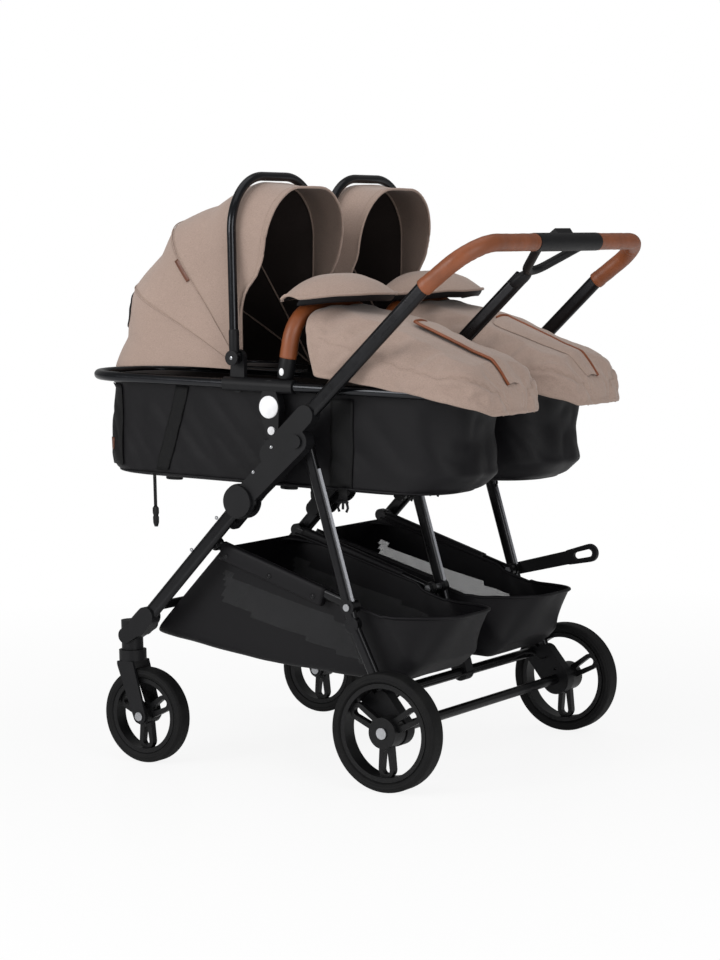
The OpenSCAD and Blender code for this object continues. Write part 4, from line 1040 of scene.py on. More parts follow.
on_hoods("hood_piping", *hood_tube(HOOD_SEAMS, PIPING_OUT, PIPING_R), TAUPE, "taupe_fabric")
on_hoods("visor_binding", *hood_tube((VISOR_RIB,), BINDING_OUT, BINDING_R), TAUPE, "taupe_fabric")
inner_ribs = hood_tube((*HOOD_SEAMS, BOW_RIB), RIB_OUT, INNER_RIB_R)
# The inner ribs take the visor lining's colour, which carries painted shade.
on_hoods("hood_inner_ribs", *inner_ribs, SHADED_VISOR_LINING, "taupe_fabric")
stitched = [place + away for place in HOOD_SEAMS for away in (-STITCH_AWAY, STITCH_AWAY)]
stitched += [BOW_RIB + BOW_STITCH, VISOR_RIB - VISOR_STITCH]
for side, sign in SIDES.items():
    rows = [hood_skin(place, STITCH_OUT) for place in stitched]
    seams = [[on_cot((sign * p.x, p.y, p.z), side) for p in row] for row in rows]
    follow_hood(sew(f"hood_stitches_{side}", seams), "taupe_fabric")
print("hood seams:", len(HOOD_SEAMS), "piped,", len(stitched), "stitched")

# %% Vent and pull tab
VENT_PLACE = 1.95
VENT_TALL = 0.72
VENT_HALF = 0.125
VENT_COLUMNS = 27
VENT_ROWS = 7
VENT_OUT = 0.0012
VENT_RIM_R = 0.0016
TAB_LOW, TAB_HIGH = 0.964, 1.016
TAB_WIDTH, TAB_THICK, TAB_OUT = 0.0095, 0.002, 0.0022
TAB_AWAY = Vector((0, -0.0045, -0.002))


def along_row(row, run):
    """The point of a row at a run from its middle, along the cloth."""
    flat = np.array([tuple(p) for p in row])
    return Vector(at_runs(flat, [runs(flat)[-1] / 2 + run])[0])


vent = []
for i in range(VENT_COLUMNS):
    u = 2 * i / (VENT_COLUMNS - 1) - 1
    tall = VENT_TALL * math.sqrt(1 - min(1.0, u ** 4))
    for j in range(VENT_ROWS):
        v = 2 * j / (VENT_ROWS - 1) - 1
        vent.append(along_row(hood_skin(VENT_PLACE + v * tall, VENT_OUT), u * VENT_HALF))
vent_edge = vent[::VENT_ROWS] + vent[VENT_ROWS - 1::VENT_ROWS][-2:0:-1]
on_hoods("hood_vent", vent, grid_faces(VENT_COLUMNS, VENT_ROWS), BLACK_CLOTH, "black_fabric")
vent_line = spaced(vent_edge + vent_edge[:1], 0.006)[:-1]
vent_rim = carry(vent_line, ring(VENT_RIM_R, 8), (0, -1, 0.3), closed=True)
on_hoods("hood_vent_rim", *vent_rim, BLACK_CLOTH, "black_fabric")
tab_seam = [p for p in hood_skin(HOOD_SEAMS[1], TAB_OUT) if p.x > 0 and TAB_LOW < p.z < TAB_HIGH]
tab_line = spaced([p + TAB_AWAY for p in tab_seam], 0.004)
tab = carry(tab_line, band(TAB_WIDTH, TAB_THICK), (1, 0, 0))
on_hoods("hood_tab", *tab, DARK_LEATHER, "leather")
print("vent and tab on each hood")

# %% [markdown]
# ## Tub straps
# Webbing is sewn on the tub's sides: a slanted strap, a broad upright panel and a band at each head
# corner, with a bare leather label on the band. They are flat strips that lie on the cloth, so they are
# made from the tub's own form and follow its folds.

# %% Webbing on the tub
STRIPS = {
    "strap": ((-0.236, 0.757), (-0.291, 0.583), 0.031),
    "panel": ((0.148, 0.750), (0.142, 0.577), 0.050),
    "corner_band": ((-0.419, 0.752), (-0.419, 0.586), 0.050),
}
LABEL = ((-0.4325, 0.640), (-0.4325, 0.616), 0.017)
STRIP_OUT, LABEL_OUT = 0.0022, 0.0036
WEBBING_THICK = 0.0014


def tub_side(y, z, out):
    """The point of the tub's near flank at a length and a height, moved outwards."""
    share = (z - TUB_LOW) / (TUB_TOP - TUB_LOW)
    flank = sorted((p.y, p.x) for p in tub_ring(share, out) if p.x > 0)
    return float(np.interp(y, [p[0] for p in flank], [p[1] for p in flank]))


def strip_on_tub(sign, top, low, width, out, rows=18, columns=9):
    """A strip between two points of a flank, each a length and a height."""
    points = []
    for i in range(rows):
        y, z = Vector(top).lerp(Vector(low), i / (rows - 1))
        for j in range(columns):
            at = y + width * (j / (columns - 1) - 0.5)
            x = tub_side(at, z, out)
            points.append((sign * (x - tub_fold(sign * x, at, z)), at, z))
    return points, grid_faces(rows, columns)


def both_flanks(make):
    return joined(*[make(sign) for sign in (1, -1)])


for name, (top, low, width) in STRIPS.items():
    strips = both_flanks(lambda sign: strip_on_tub(sign, top, low, width, STRIP_OUT))
    for strip in on_cots(f"tub_{name}", "carrycot", *strips, WEBBING, "black_fabric"):
        thicken(strip, WEBBING_THICK, offset=0.0)
label = strip_on_tub(1, *LABEL, LABEL_OUT, rows=6, columns=5)
for tag in on_cots("bare_label", "carrycot", *label, DARK_LEATHER, "leather"):
    thicken(tag, WEBBING_THICK, offset=0.0)
print("tub strips:", ", ".join(STRIPS))

# %% [markdown]
# Below the tub hang the free parts of the straps: a pronged buckle half on each panel, and on the outer
# flank a thin strap with its buckle. The thin strap is a cord of its own: it hangs straight down, so its
# line is drawn as it hangs and its length is that of the line.

# %% Buckles, thin strap and feet
PRONGS = [[(-0.012, -0.002), (0.012, -0.002)], [(0.0085, -0.003), (0.0115, -0.013), (0.0080, -0.021)],
          [(0, -0.003), (0, -0.016)], [(-0.0085, -0.003), (-0.0115, -0.013), (-0.0080, -0.021)]]
PRONG_AT = (0.1195, 0.150, 0.552)


def pronged(sign):
    """The half of a side-release buckle that has the prongs."""
    x, y, z = PRONG_AT
    lines = [[(sign * x, y + a, z + b) for a, b in line] for line in PRONGS]
    return joined(*[carry(line, band(0.0046, 0.0036), (1, 0, 0)) for line in lines])


def buckle_loop(sign):
    x, y, z = PRONG_AT
    return carry([(sign * x, y, z + 0.024), (sign * x, y, z - 0.003)], band(0.020, 0.0016), (1, 0, 0))


for buckle in on_cots("pronged_buckle", "carrycot", *both_flanks(pronged), BLACK_PLASTIC, "black_plastic"):
    bevel(buckle, 0.0005)
on_cots("buckle_loop", "carrycot", *both_flanks(buckle_loop), WEBBING, "black_fabric")

THIN_EXIT = (0.1165, -0.310, 0.574)
THIN_LENGTH = 0.066
THIN_WIDTH = 0.008
THIN_STEPS = 18
CLASP = [(0, 0.004, 0.0030), (0.004, 0.0075, 0.0040), (0.014, 0.0075, 0.0046), (0.019, 0.0055, 0.0040),
         (0.023, 0.0072, 0.0046), (0.034, 0.0068, 0.0042), (0.042, 0.0040, 0.0026)]
for side, sign in SIDES.items():
    start = on_cot((sign * THIN_EXIT[0], THIN_EXIT[1], THIN_EXIT[2]), side)
    line = [start - Vector((0, 0, THIN_LENGTH * k / THIN_STEPS)) for k in range(THIN_STEPS + 1)]
    webbing = carry(line, band(THIN_WIDTH, WEBBING_THICK), (1, 0, 0))
    strap = make_piece(f"thin_strap_{side}", *webbing, WEBBING)
    drop = [line[-1] - Vector((0, 0, down)) for down, wide, deep in CLASP]
    outlines = [[(wide * a, deep * b) for a, b in ring(1.0, 16)] for down, wide, deep in CLASP]
    clasp_skin = carry(drop, stepped(outlines), (1, 0, 0))
    clasp = make_piece(f"thin_strap_clasp_{side}", *clasp_skin, BLACK_PLASTIC)
    for piece, slot in ((strap, "black_fabric"), (clasp, "black_plastic")):
        fit(piece, f"carrycot_{side}", slot)

FOOT_PLACES = [(sx * 0.085, y) for sx in (1, -1) for y in (-0.283, 0.0)]
FOOT_HALF = 0.011
FOOT_STEPS = [(0, 0.016), (0.003, 0.020), (0.0065, 0.020), (0.008, 0.018)]


def tub_foot(x, y):
    """A low rubber foot under the tub's floor."""
    line = [(x, y, TUB_LOW + 0.001 - down) for down, half in FOOT_STEPS]
    outlines = [[(half * a, FOOT_HALF * b) for a, b in ring(1.0, 20)] for down, half in FOOT_STEPS]
    return carry(line, stepped(outlines), (1, 0, 0))


tub_feet = joined(*[tub_foot(*p) for p in FOOT_PLACES])
on_cots("tub_feet", "carrycot", *tub_feet, BLACK_PLASTIC, "black_plastic")
print("buckles, thin straps and feet")

# %% [markdown]
# ## Bumper bars
# The bar across each carrycot is a bent tube in a stitched leather sleeve, on two plastic feet that
# plug into the rail. A round section carried along the arch gives the sleeve, and fine creases ring
# the inside of its bends.

# %% Bumper arch
BUMPER_Y = 0.020
BUMPER_FOOT_Z = RAIL_Z + 0.0143
BUMPER_RISE = 0.1357
BUMPER_HALF = 0.132
BUMPER_BEND = 0.062
BUMPER_LEAN = math.radians(9)
BUMPER_R = 0.017
BUMPER_BARE = 0.042
BUMPER_STEP = 0.004
BUMPER_FOOT = [(0.0015, 0.0150), (0.008, 0.0168), (0.030, 0.0168), (BUMPER_BARE, 0.0160),
               (BUMPER_BARE + 0.004, 0.0150)]


def bumper_point(x, h):
    return Vector((x, BUMPER_Y + h * math.sin(BUMPER_LEAN), BUMPER_FOOT_Z + h * math.cos(BUMPER_LEAN)))


def creased(radius, at, sides=24, depth=0.0006, pitch=0.006, seed=0):
    """A round section with fine creases; the creases change along the line."""
    outline = []
    for a, b in ring(1.0, sides):
        crease = lumps((at, a * 0.01, b * 0.01), pitch, seed)
        outline.append((a * (radius - depth * max(0, crease)), b * (radius - depth * max(0, crease))))
    return outline


def bumper_sleeve():
    places = [(1, BUMPER_BARE), (1, BUMPER_RISE), (-1, BUMPER_RISE), (-1, BUMPER_BARE)]
    corners = [bumper_point(sign * BUMPER_HALF, h) for sign, h in places]
    arch_line = spaced(rounded(corners, BUMPER_BEND), BUMPER_STEP)
    span = BUMPER_STEP * len(arch_line)
    return carry(arch_line, lambda s: creased(BUMPER_R, s * span), (0, -1, 0.1))


def bumper_foot(x):
    line = [bumper_point(x, h) for h, radius in BUMPER_FOOT]
    return carry(line, stepped([ring(radius, 24) for h, radius in BUMPER_FOOT]), (0, -1, 0.1))


for side, sleeve in zip(SIDES, on_cots("bumper_sleeve", "cover", *bumper_sleeve(), LEATHER)):
    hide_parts(f"bumper_{side}")
for end, x in (("outer", BUMPER_HALF), ("inner", -BUMPER_HALF)):
    for foot in on_cots(f"bumper_foot_{end}", "cover", *bumper_foot(x), BLACK_PLASTIC, "black_plastic"):
        bevel(foot, 0.0006)
print("bumper sleeves and feet")

# %% [markdown]
# ## Aprons
# The apron is a padded cover from the bumper bar to the foot end. Its cloth is quilted in three
# panels: a top and two sides that meet round the end. The cloth solver puffs the panels while the hem
# and the seams stay pinned, which is how stuffed panels bulge between sewn lines.

# %% Apron form
APRON_FORE = 0.014
APRON_END = 0.4725
APRON_HALF = 0.1545
APRON_CORNER = 0.110
APRON_TOP = (0.950, 0.8075)
APRON_HEM = (0.799, 0.735)
APRON_FROM = 0.064
APRON_ROWS = 62
APRON_COLUMNS = 76
COLLAR_DIP = 0.026
ARC_STEPS = 180
END_FALL = 0.070
FLAT_RUN = 0.068
SQUARE = (0.48, 0.28)


def ease(low, high, value):
    """A smooth step from 0 at low to 1 at high."""
    share = min(1.0, max(0.0, (value - low) / (high - low)))
    return share * share * (3 - 2 * share)


def apron_row(share):
    """One arch of the apron at a share of its length, with even steps."""
    along = APRON_FORE + (1 - (1 - share) ** 2) * (APRON_END - APRON_FORE)
    left = APRON_END - along
    corner = max(1 - left / APRON_CORNER, 0)
    fall = max(1 - left / END_FALL, 0)
    wide = APRON_HALF - APRON_CORNER * (1 - math.sqrt(1 - 0.98 * corner ** 2))
    hem = APRON_HEM[0] + (APRON_HEM[1] - APRON_HEM[0]) * min(1, 1.15 * share)
    past = max(along - APRON_FORE - FLAT_RUN, 0) / (APRON_END - APRON_FORE - FLAT_RUN)
    top = APRON_TOP[0] + (APRON_TOP[1] - APRON_TOP[0]) * (1 - (1 - past) ** 1.15)
    top -= COLLAR_DIP * (1 - ease(0.06, 0.24, along))
    high = max((top - hem) * math.sqrt(1 - fall ** 2), 0.0005)
    square = SQUARE[0] + (SQUARE[1] - SQUARE[0]) * share
    fine = []
    for k in range(ARC_STEPS + 1):
        phi = math.pi * k / ARC_STEPS
        rise = math.sin(phi) ** square if 0 < k < ARC_STEPS else 0.0
        across = math.copysign(abs(math.cos(phi)) ** square, math.cos(phi))
        lean = 0.044 * (1 - rise) * (1 - share) ** 3
        fine.append((wide * across, along + lean, hem + high * rise))
    fine = np.array(fine)
    return at_runs(fine, np.linspace(0, runs(fine)[-1], APRON_COLUMNS))


APRON_START = 1 - math.sqrt(1 - (APRON_FROM - APRON_FORE) / (APRON_END - APRON_FORE))
apron_shares = [APRON_START + (1 - APRON_START) * k / (APRON_ROWS - 1) for k in range(APRON_ROWS)]
apron_grid = np.array([apron_row(s) for s in apron_shares])
SEAM_Y = (0.05, 0.166, 0.291, 0.379, 0.430, 0.462)
SEAM_RISE = (0.60, 0.54, 0.52, 0.62, 0.84, 0.995)


def apron_seam():
    """The line between the side panel and the top, from the collar round the end."""
    half = []
    for row in apron_grid:
        y = float(row[len(row) // 2][1])
        rise = float(np.interp(y, SEAM_Y, SEAM_RISE))
        low, high = row[0][2], row[len(row) // 2][2]
        side_run = row[:len(row) // 2 + 1]
        level = low + rise * (high - low)
        half.append([float(np.interp(level, side_run[:, 2], side_run[:, k])) for k in range(3)])
    return np.array(half)


half_seam = apron_seam()
seam_line = np.concatenate([half_seam, half_seam[::-1] * np.array([-1, 1, 1])])
flat_points = apron_grid.reshape(-1, 3)
print("apron form:", len(flat_points), "points")

# %% Puff the apron
APRON_IN = 0.006
PIN_REACH = 0.006
APRON_PRESSURE = 2.2
APRON_CAP = 0.010
APRON_SLACK = 0.035
APRON_BEND = 0.3
APRON_THICK = 0.007
apron_faces = grid_faces(APRON_ROWS, APRON_COLUMNS)
apron = make_piece("apron_form", [tuple(p) for p in flat_points], apron_faces, TAUPE)
count = len(apron.data.vertices)
placed = np.array([tuple(v.co) for v in apron.data.vertices])
near_seam = np.array([np.linalg.norm(seam_line - p, axis=1).min() for p in placed])
open_edge = set()
edge_uses = {}
for polygon in apron.data.polygons:
    for key in polygon.edge_keys:
        edge_uses[key] = edge_uses.get(key, 0) + 1
for key, uses in edge_uses.items():
    if uses == 1:
        open_edge.update(key)
normals = np.array([tuple(v.normal) for v in apron.data.vertices])
for index, vertex in enumerate(apron.data.vertices):
    held = 1.0 if index in open_edge else 0.0
    vertex.co -= Vector(normals[index]) * APRON_IN * (1 - held)
pins = [(k, 1.0) for k in range(count) if k in open_edge or near_seam[k] < PIN_REACH]
swell(apron, APRON_PRESSURE, APRON_CAP, pins, grow=APRON_SLACK, bend=APRON_BEND)
SEAM_DEPTH = 0.0024
SEAM_WIDTH = 0.006
for index, vertex in enumerate(apron.data.vertices):
    groove = SEAM_DEPTH * math.exp(-(near_seam[index] / SEAM_WIDTH) ** 2)
    crumple = 0.0011 * lumps(placed[index], 0.03, 6) + 0.0005 * lumps(placed[index], 0.012, 7)
    free = 0.0 if index in open_edge else 1.0
    vertex.co += Vector(normals[index]) * (free * crumple - groove)
apron_points, apron_faces = plain_mesh(apron)
for side, apron in zip(SIDES, on_cots("apron_pad", "cover", apron_points, apron_faces, TAUPE)):
    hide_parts(f"apron_{side}")
    thicken(apron, APRON_THICK, BLACK_CLOTH)
    soften(apron)
print("apron puffed:", len(apron_points), "points")

# %% [markdown]
# ## Collar flap
# The apron's top edge folds back over the bumper bar as a flap with a bound edge. It is a sheet of its
# own, in the form of a lens: narrow at both sides, and in the middle up over the bar, over a soft crest
# and down again towards the foot end, where a black hem is turned under.

# %% Collar flap
FLAP_HALF = 0.150
FLAP_MIDDLE = [(0.004, 0.938), (0.002, 0.964), (0.032, 0.987), (0.078, 0.990), (0.125, 0.977),
               (0.168, 0.953)]
FLAP_SIDE = [(0.022, 0.934), (0.022, 0.940), (0.030, 0.946), (0.040, 0.948), (0.050, 0.946),
             (0.060, 0.942)]
FLAP_LENS = 2.2
FLAP_THICK = 0.005
HEM_FOLD = [(0.003, 0.007), (0.010, 0.017)]
BIND_R = 0.0032
FLAP_ROWS = 22
FLAP_COLUMNS = 44


def flap_points():
    """Rows from the bar to the rear edge, each from one side to the other."""
    points = []
    keys = np.linspace(0, 1, len(FLAP_MIDDLE))
    middle = np.array(FLAP_MIDDLE)
    outer = np.array(FLAP_SIDE)
    for i in range(FLAP_ROWS):
        v = i / (FLAP_ROWS - 1)
        for j in range(FLAP_COLUMNS):
            u = 2 * j / (FLAP_COLUMNS - 1) - 1
            blend = abs(u) ** FLAP_LENS
            profile = middle * (1 - blend) + outer * blend
            y, z = [np.interp(v, keys, profile[:, k]) for k in (0, 1)]
            wave = 0.003 * lumps((u * 0.15, y, 0.3), 0.06, 8) * v
            points.append((FLAP_HALF * u * (1 - 0.03 * v * v), y, z + wave))
    return points


def hemmed(points):
    """The flap with its black hem turned under along the rear edge."""
    rear = points[-FLAP_COLUMNS:]
    return points + [(p[0], p[1] - fold, p[2] - down) for fold, down in HEM_FOLD for p in rear]


flap_sheet = flap_points()
flap_faces = grid_faces(FLAP_ROWS + len(HEM_FOLD), FLAP_COLUMNS)
flap_edge = [flap_sheet[k * FLAP_COLUMNS] for k in range(FLAP_ROWS)]
flap_edge += flap_sheet[(FLAP_ROWS - 1) * FLAP_COLUMNS + 1:]
flap_edge += [flap_sheet[k * FLAP_COLUMNS - 1] for k in range(FLAP_ROWS - 1, 0, -1)]
flaps = on_cots("collar_flap", "cover", hemmed(flap_sheet), flap_faces, TAUPE, "taupe_fabric")
for side, flap in zip(SIDES, flaps):
    thicken(flap, FLAP_THICK, BLACK_CLOTH)
    for face in flap.data.polygons:
        if face.index >= (FLAP_ROWS - 1) * (FLAP_COLUMNS - 1):
            face.material_index = 1
    soften(flap)
flap_binding = carry(spaced(flap_edge, 0.005), ring(BIND_R, 8), (0, 0.3, 1))
on_cots("collar_binding", "cover", *flap_binding, TAUPE, "taupe_fabric")
print("collar flaps")

# %% [markdown]
# ## Baskets
# Under the carrycots hang two shopping baskets. Each is a sewn bag of cloth with a net window in both
# sides, under a solid band. The bag is one loft: a row of points goes down one wall, across and up the
# other, and the rows follow the bag's outline from front to lip. The lip is pulled in at both sides, so
# it is rounded as seen from above.

# %% Basket bag
BASKET_X = (0.0385, 0.2947)
BASKET_FRONT = [(-0.1432, 0.4459), (-0.3306, 0.2587)]
BASKET_REAR = [(0.2599, 0.1946), (0.3080, 0.2286), (0.3640, 0.3220)]
BASKET_RIM = (0.1968, 0.3421)
BASKET_SAG = 0.015
BASKET_BAND = 0.052
BASKET_COLUMNS = 60
BASKET_ROUND = 0.022
LIP_FROM = 0.150
LIP_PULL = 0.70
NET_TALL = 0.065
NET_SPAN = (-0.150, 0.180)
FLOOR_STEPS = 12
BAG_STEP = 0.012
BAG_LEAST = 0.004
BAG_SLACK = 0.005
BAG_CLOTH = 0.0014


def basket_outline():
    """The bag's lower line from the front edge to the rear lip, as points in Y and Z."""
    front, rear = Vector((0, *BASKET_FRONT[1])), Vector((0, *BASKET_REAR[0]))
    floor_line = []
    for k in range(FLOOR_STEPS + 1):
        share = k / FLOOR_STEPS
        dip = BASKET_SAG * 4 * share * (1 - share)
        floor_line.append(front.lerp(rear, share) - Vector((0, 0, dip)))
    corners = [(0, *BASKET_FRONT[0])] + floor_line + [(0, *p) for p in BASKET_REAR[1:]]
    return spaced(corners, BAG_STEP)


def basket_top(p):
    """The point of the bag's upper edge above a point of its lower line."""
    front, rear = BASKET_FRONT[1][0], BASKET_REAR[0][0]
    share = min(1.0, max(0.0, (p.y - front) / (rear - front)))
    if p.y > rear:
        past = (p.y - rear) / (BASKET_REAR[-1][0] - rear)
        return Vector((0, *BASKET_RIM)).lerp(Vector((0, *BASKET_REAR[-1])), past)
    return Vector((0, *BASKET_FRONT[0])).lerp(Vector((0, *BASKET_RIM)), share)


def basket_points(low_line):
    """Rows across the bag, one at each point of its lower line."""
    points = []
    for k, p in enumerate(low_line):
        top = basket_top(p)
        if p.z > BASKET_FRONT[1][1] and p.y < BASKET_FRONT[0][0] and k < len(low_line) // 2:
            top = Vector((0, *BASKET_FRONT[0]))
        wall = max((p - top).length, BAG_LEAST)
        bend = min(BASKET_ROUND, wall * 0.45)
        near, far = (Vector((x, 0, 0)) for x in BASKET_X)
        inset = Vector((BAG_LEAST, 0, 0))
        lifted = top if (top - p).length > BAG_LEAST else p + Vector((0, 0, BAG_LEAST))
        row = rounded([near + lifted, near + inset + p, far - inset + p, far + lifted], bend, 5)
        flat = np.array([tuple(q) for q in row])
        marks = np.linspace(0, runs(flat)[-1], BASKET_COLUMNS)
        for mark in at_runs(flat, marks):
            q = Vector(mark)
            slack = 0.5 + 0.5 * lumps((q.x * 0.7, q.y, q.z * 0.5), 0.06, 9)
            middle = Vector(((BASKET_X[0] + BASKET_X[1]) / 2, p.y, max(p.z, top.z)))
            inner = (middle - q).normalized() * BAG_SLACK * slack * min(1.0, (q - top).length / 0.08)
            q = q + Vector((inner.x, 0, inner.z))
            aside = abs(q.x - middle.x) / (BASKET_X[1] - middle.x)
            raised = ease(BASKET_REAR[0][1], BASKET_RIM[1], q.z)
            q.y -= LIP_PULL * max(0.0, q.y - LIP_FROM) * aside ** 4 * raised
            points.append(tuple(q))
    return points


low_line = basket_outline()
bag_points = basket_points(low_line)
bag_faces = grid_faces(len(low_line), BASKET_COLUMNS)
for side, sign in SIDES.items():
    placed = [(sign * x, y, z) for x, y, z in bag_points]
    bag = make_piece(f"basket_bag_{side}", placed, bag_faces, BLACK_CLOTH)
    bag.data.materials.append(NET)
    for polygon in bag.data.polygons:
        middle = polygon.center
        upright = abs(polygon.normal.x) > 0.75
        edge_z = np.interp(middle.y, (BASKET_FRONT[0][0], BASKET_RIM[0], BASKET_REAR[-1][0]),
                           (BASKET_FRONT[0][1], BASKET_RIM[1], BASKET_REAR[-1][1]))
        below = edge_z - BASKET_BAND - middle.z
        if upright and 0 < below < NET_TALL and NET_SPAN[0] < middle.y < NET_SPAN[1]:
            polygon.material_index = 1
    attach(bag, "front_frame")
    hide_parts(f"basket_{side}")
    thicken(bag, BAG_CLOTH)
    soften(bag)
print("basket bags:", len(low_line), "rows of", BASKET_COLUMNS)

# %% [markdown]
# ## Handle
# Each corner of the handle is wrapped in a sewn leather sleeve. Leather on a bend creases on the inside
# of the curve, so rings of small folds fade in there. The middle of the bar has a moulded sleeve, held
# by a smooth yoke with two arms.

# %% Places in the handle's plane
KNEE = Vector((0, 0.368, 0.955))
BAR_ANGLE = math.radians(35)
BAR_HALF = 0.345
BAR_REACH = 0.140
BAR_BEND = 0.075
GRIP_R = 0.0168
SLEEVE_HALF = 0.125


def on_handle(x, up, out=0.0):
    """A point of the handle's plane: across, up along it and out of it."""
    turn = Matrix.Rotation(BAR_ANGLE, 3, "X")
    return KNEE + turn @ Vector((x, up, out))


handle_out = Matrix.Rotation(BAR_ANGLE, 3, "X") @ Vector((0, 0, 1))


# %% Leather grips
def grip_section(share, sign):
    """A sleeve that is creased where the bar bends, with a turned hem at both ends."""
    bent = math.exp(-((share - 0.42) / 0.16) ** 2)
    hem = 0.0006 if min(share, 1 - share) < 0.035 else 0.0
    outline = []
    for a, b in ring(1.0, 28):
        inside = max(0.0, 0.55 - sign * a)
        fold = max(0.0, lumps((share * 0.36, a * 0.006, b * 0.006), 0.0065, 11))
        pucker = lumps((share * 0.36, a * 0.02, b * 0.02), 0.014, 12) * 0.0004
        radius = GRIP_R + hem + pucker - 0.0016 * bent * inside * fold
        outline.append((a * radius, b * radius))
    return outline


for side, sign in SIDES.items():
    line = rounded([on_handle(sign * BAR_HALF, 0.001), on_handle(sign * BAR_HALF, BAR_REACH),
                    on_handle(sign * (SLEEVE_HALF + 0.001), BAR_REACH)], BAR_BEND, 16)
    skin = carry(spaced(line, 0.0025), lambda share: grip_section(share, sign), tuple(handle_out))
    grip = make_piece(f"leather_grip_{side}", *skin, LEATHER)
    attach(grip, "handle_frame")
    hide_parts("grips")
print("leather grips")

# %% Yoke
YOKE_X = 0.088
YOKE_UP = 0.030
YOKE_R = 0.010
YOKE_IN = 0.012
YOKE_BEND = 0.045
NECK = [(0.042, 0.010), (0.034, 0.016), (0.022, 0.0195), (0.006, 0.0195), (-0.004, 0.018)]
arm_ends = [on_handle(sign * YOKE_X, BAR_REACH - YOKE_IN) for sign in (1, -1)]
arms = spaced(rounded([arm_ends[0], on_handle(0, YOKE_UP - YOKE_IN), arm_ends[1]], YOKE_BEND, 16), 0.006)
yoke = make_piece("yoke_arms", *carry(arms, ring(YOKE_R, 20, 0.86), tuple(handle_out)), BLACK_PLASTIC)
neck_line = [on_handle(0, up) for up, radius in NECK]
neck_rings = stepped([ring(radius, 28, 0.62) for up, radius in NECK])
neck = make_piece("yoke_neck", *carry(neck_line, neck_rings, tuple(handle_out)), BLACK_PLASTIC)
for piece in (yoke, neck):
    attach(piece, "handle_frame")
    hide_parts("handle_yoke")
    soften(piece)
print("yoke")

# %% [markdown]
# ## Zip flap on the apron
# A narrow flap of the same cloth covers the apron's zip, with leather piping along its near edge and
# round its start. It lies on the puffed cloth, so rays are cast straight down to find where that is.

# %% Zip flap and piping
FLAP_NEAR, FLAP_FAR = 0.012, -0.078
FLAP_START, FLAP_END = 0.240, 0.452
ZIP_ROWS = 30
ZIP_COLUMNS = 12
ZIP_THICK = 0.0025
ZIP_LIFT = 0.0025
ZIP_RAISED = 0.0075
ZIP_CROWN = 0.006
ZIP_PIPING_R = 0.0030
SEAM_LIFT = 0.0006
apron_skin = BVHTree.FromPolygons(apron_points, apron_faces)


def on_apron(x, y, lift):
    """The point of the apron's top at a place, moved up."""
    hit = apron_skin.ray_cast(Vector((x, y, 1.3)), Vector((0, 0, -1)))[0]
    return hit + Vector((0, 0, lift))


def zip_rows():
    rows = []
    for i in range(ZIP_ROWS):
        along = i / (ZIP_ROWS - 1)
        y = FLAP_START + along * (FLAP_END - FLAP_START)
        narrow = 0.030 * max(0.0, 1 - along / 0.12) ** 2
        far = FLAP_FAR + narrow + 0.045 * along
        row = []
        for j in range(ZIP_COLUMNS):
            across_flap = j / (ZIP_COLUMNS - 1)
            x = FLAP_NEAR + across_flap * (far - FLAP_NEAR)
            raised = ZIP_RAISED * (1 - across_flap) ** 2 * (1 - 0.6 * along)
            crown = ZIP_CROWN * math.sin(math.pi * across_flap)
            row.append(on_apron(x, y, ZIP_LIFT + raised + crown))
        rows.append(row)
    return rows


zip_grid = zip_rows()
zip_points = [p for row in zip_grid for p in row]
zip_faces = grid_faces(ZIP_ROWS, ZIP_COLUMNS)
zip_flaps = on_cots("zip_flap", "cover", zip_points, zip_faces, TAUPE, "taupe_fabric")
for side, zip_flap in zip(SIDES, zip_flaps):
    area = flat_area(zip_flap)
    thicken(zip_flap, ZIP_THICK, BLACK_CLOTH)
    soften(zip_flap)
start_edge = [zip_grid[0][j] for j in range(ZIP_COLUMNS - 4, -1, -1)]
piping_line = spaced(start_edge + [row[0] for row in zip_grid[1:]], 0.005)
zip_piping = carry(piping_line, ring(ZIP_PIPING_R, 10), (0, 0.2, 1))
on_cots("zip_piping", "cover", *zip_piping, LEATHER, "leather")
side_seam = [Vector(apron_skin.find_nearest(Vector(p))[0]) for p in half_seam[2:-8]]
for side, sign in SIDES.items():
    seams = [[on_cot((way * p.x, p.y, p.z + SEAM_LIFT), side) for p in side_seam] for way in (sign, -sign)]
    fit(sew(f"apron_stitches_{side}", seams), f"cover_{side}", "taupe_fabric")
print("zip flaps, piping and side stitches")

# %% [markdown]
# ## Hubs, pivots and buttons
# The hard trim on a carrycot is turned: a white disc on each outer hub, a black cap with a screw at the
# hood's pivots, a collar at the foot of the carry bow and a white button on the bumper's feet. A turned
# form is a profile spun about an axis, written as pairs of a length along it and a radius.

# %% Turned trim
def turned(centre, axis, profile, sides=32, flat=1.0):
    """A profile of (along, radius) spun about an axis; flat squeezes it level."""
    axis = Vector(axis).normalized()
    up = Vector((0, 0, 1))
    level = axis.cross(up).normalized()
    points = []
    for along, radius in profile:
        for k in range(sides):
            turn = 2 * math.pi * k / sides
            points.append(Vector(centre) + axis * along
                          + radius * (math.sin(turn) * up + flat * math.cos(turn) * level))
    faces = grid_faces(len(profile), sides, wrap=True)
    last = len(points) - sides
    return points, faces + [tuple(range(sides)), tuple(range(last, last + sides))]


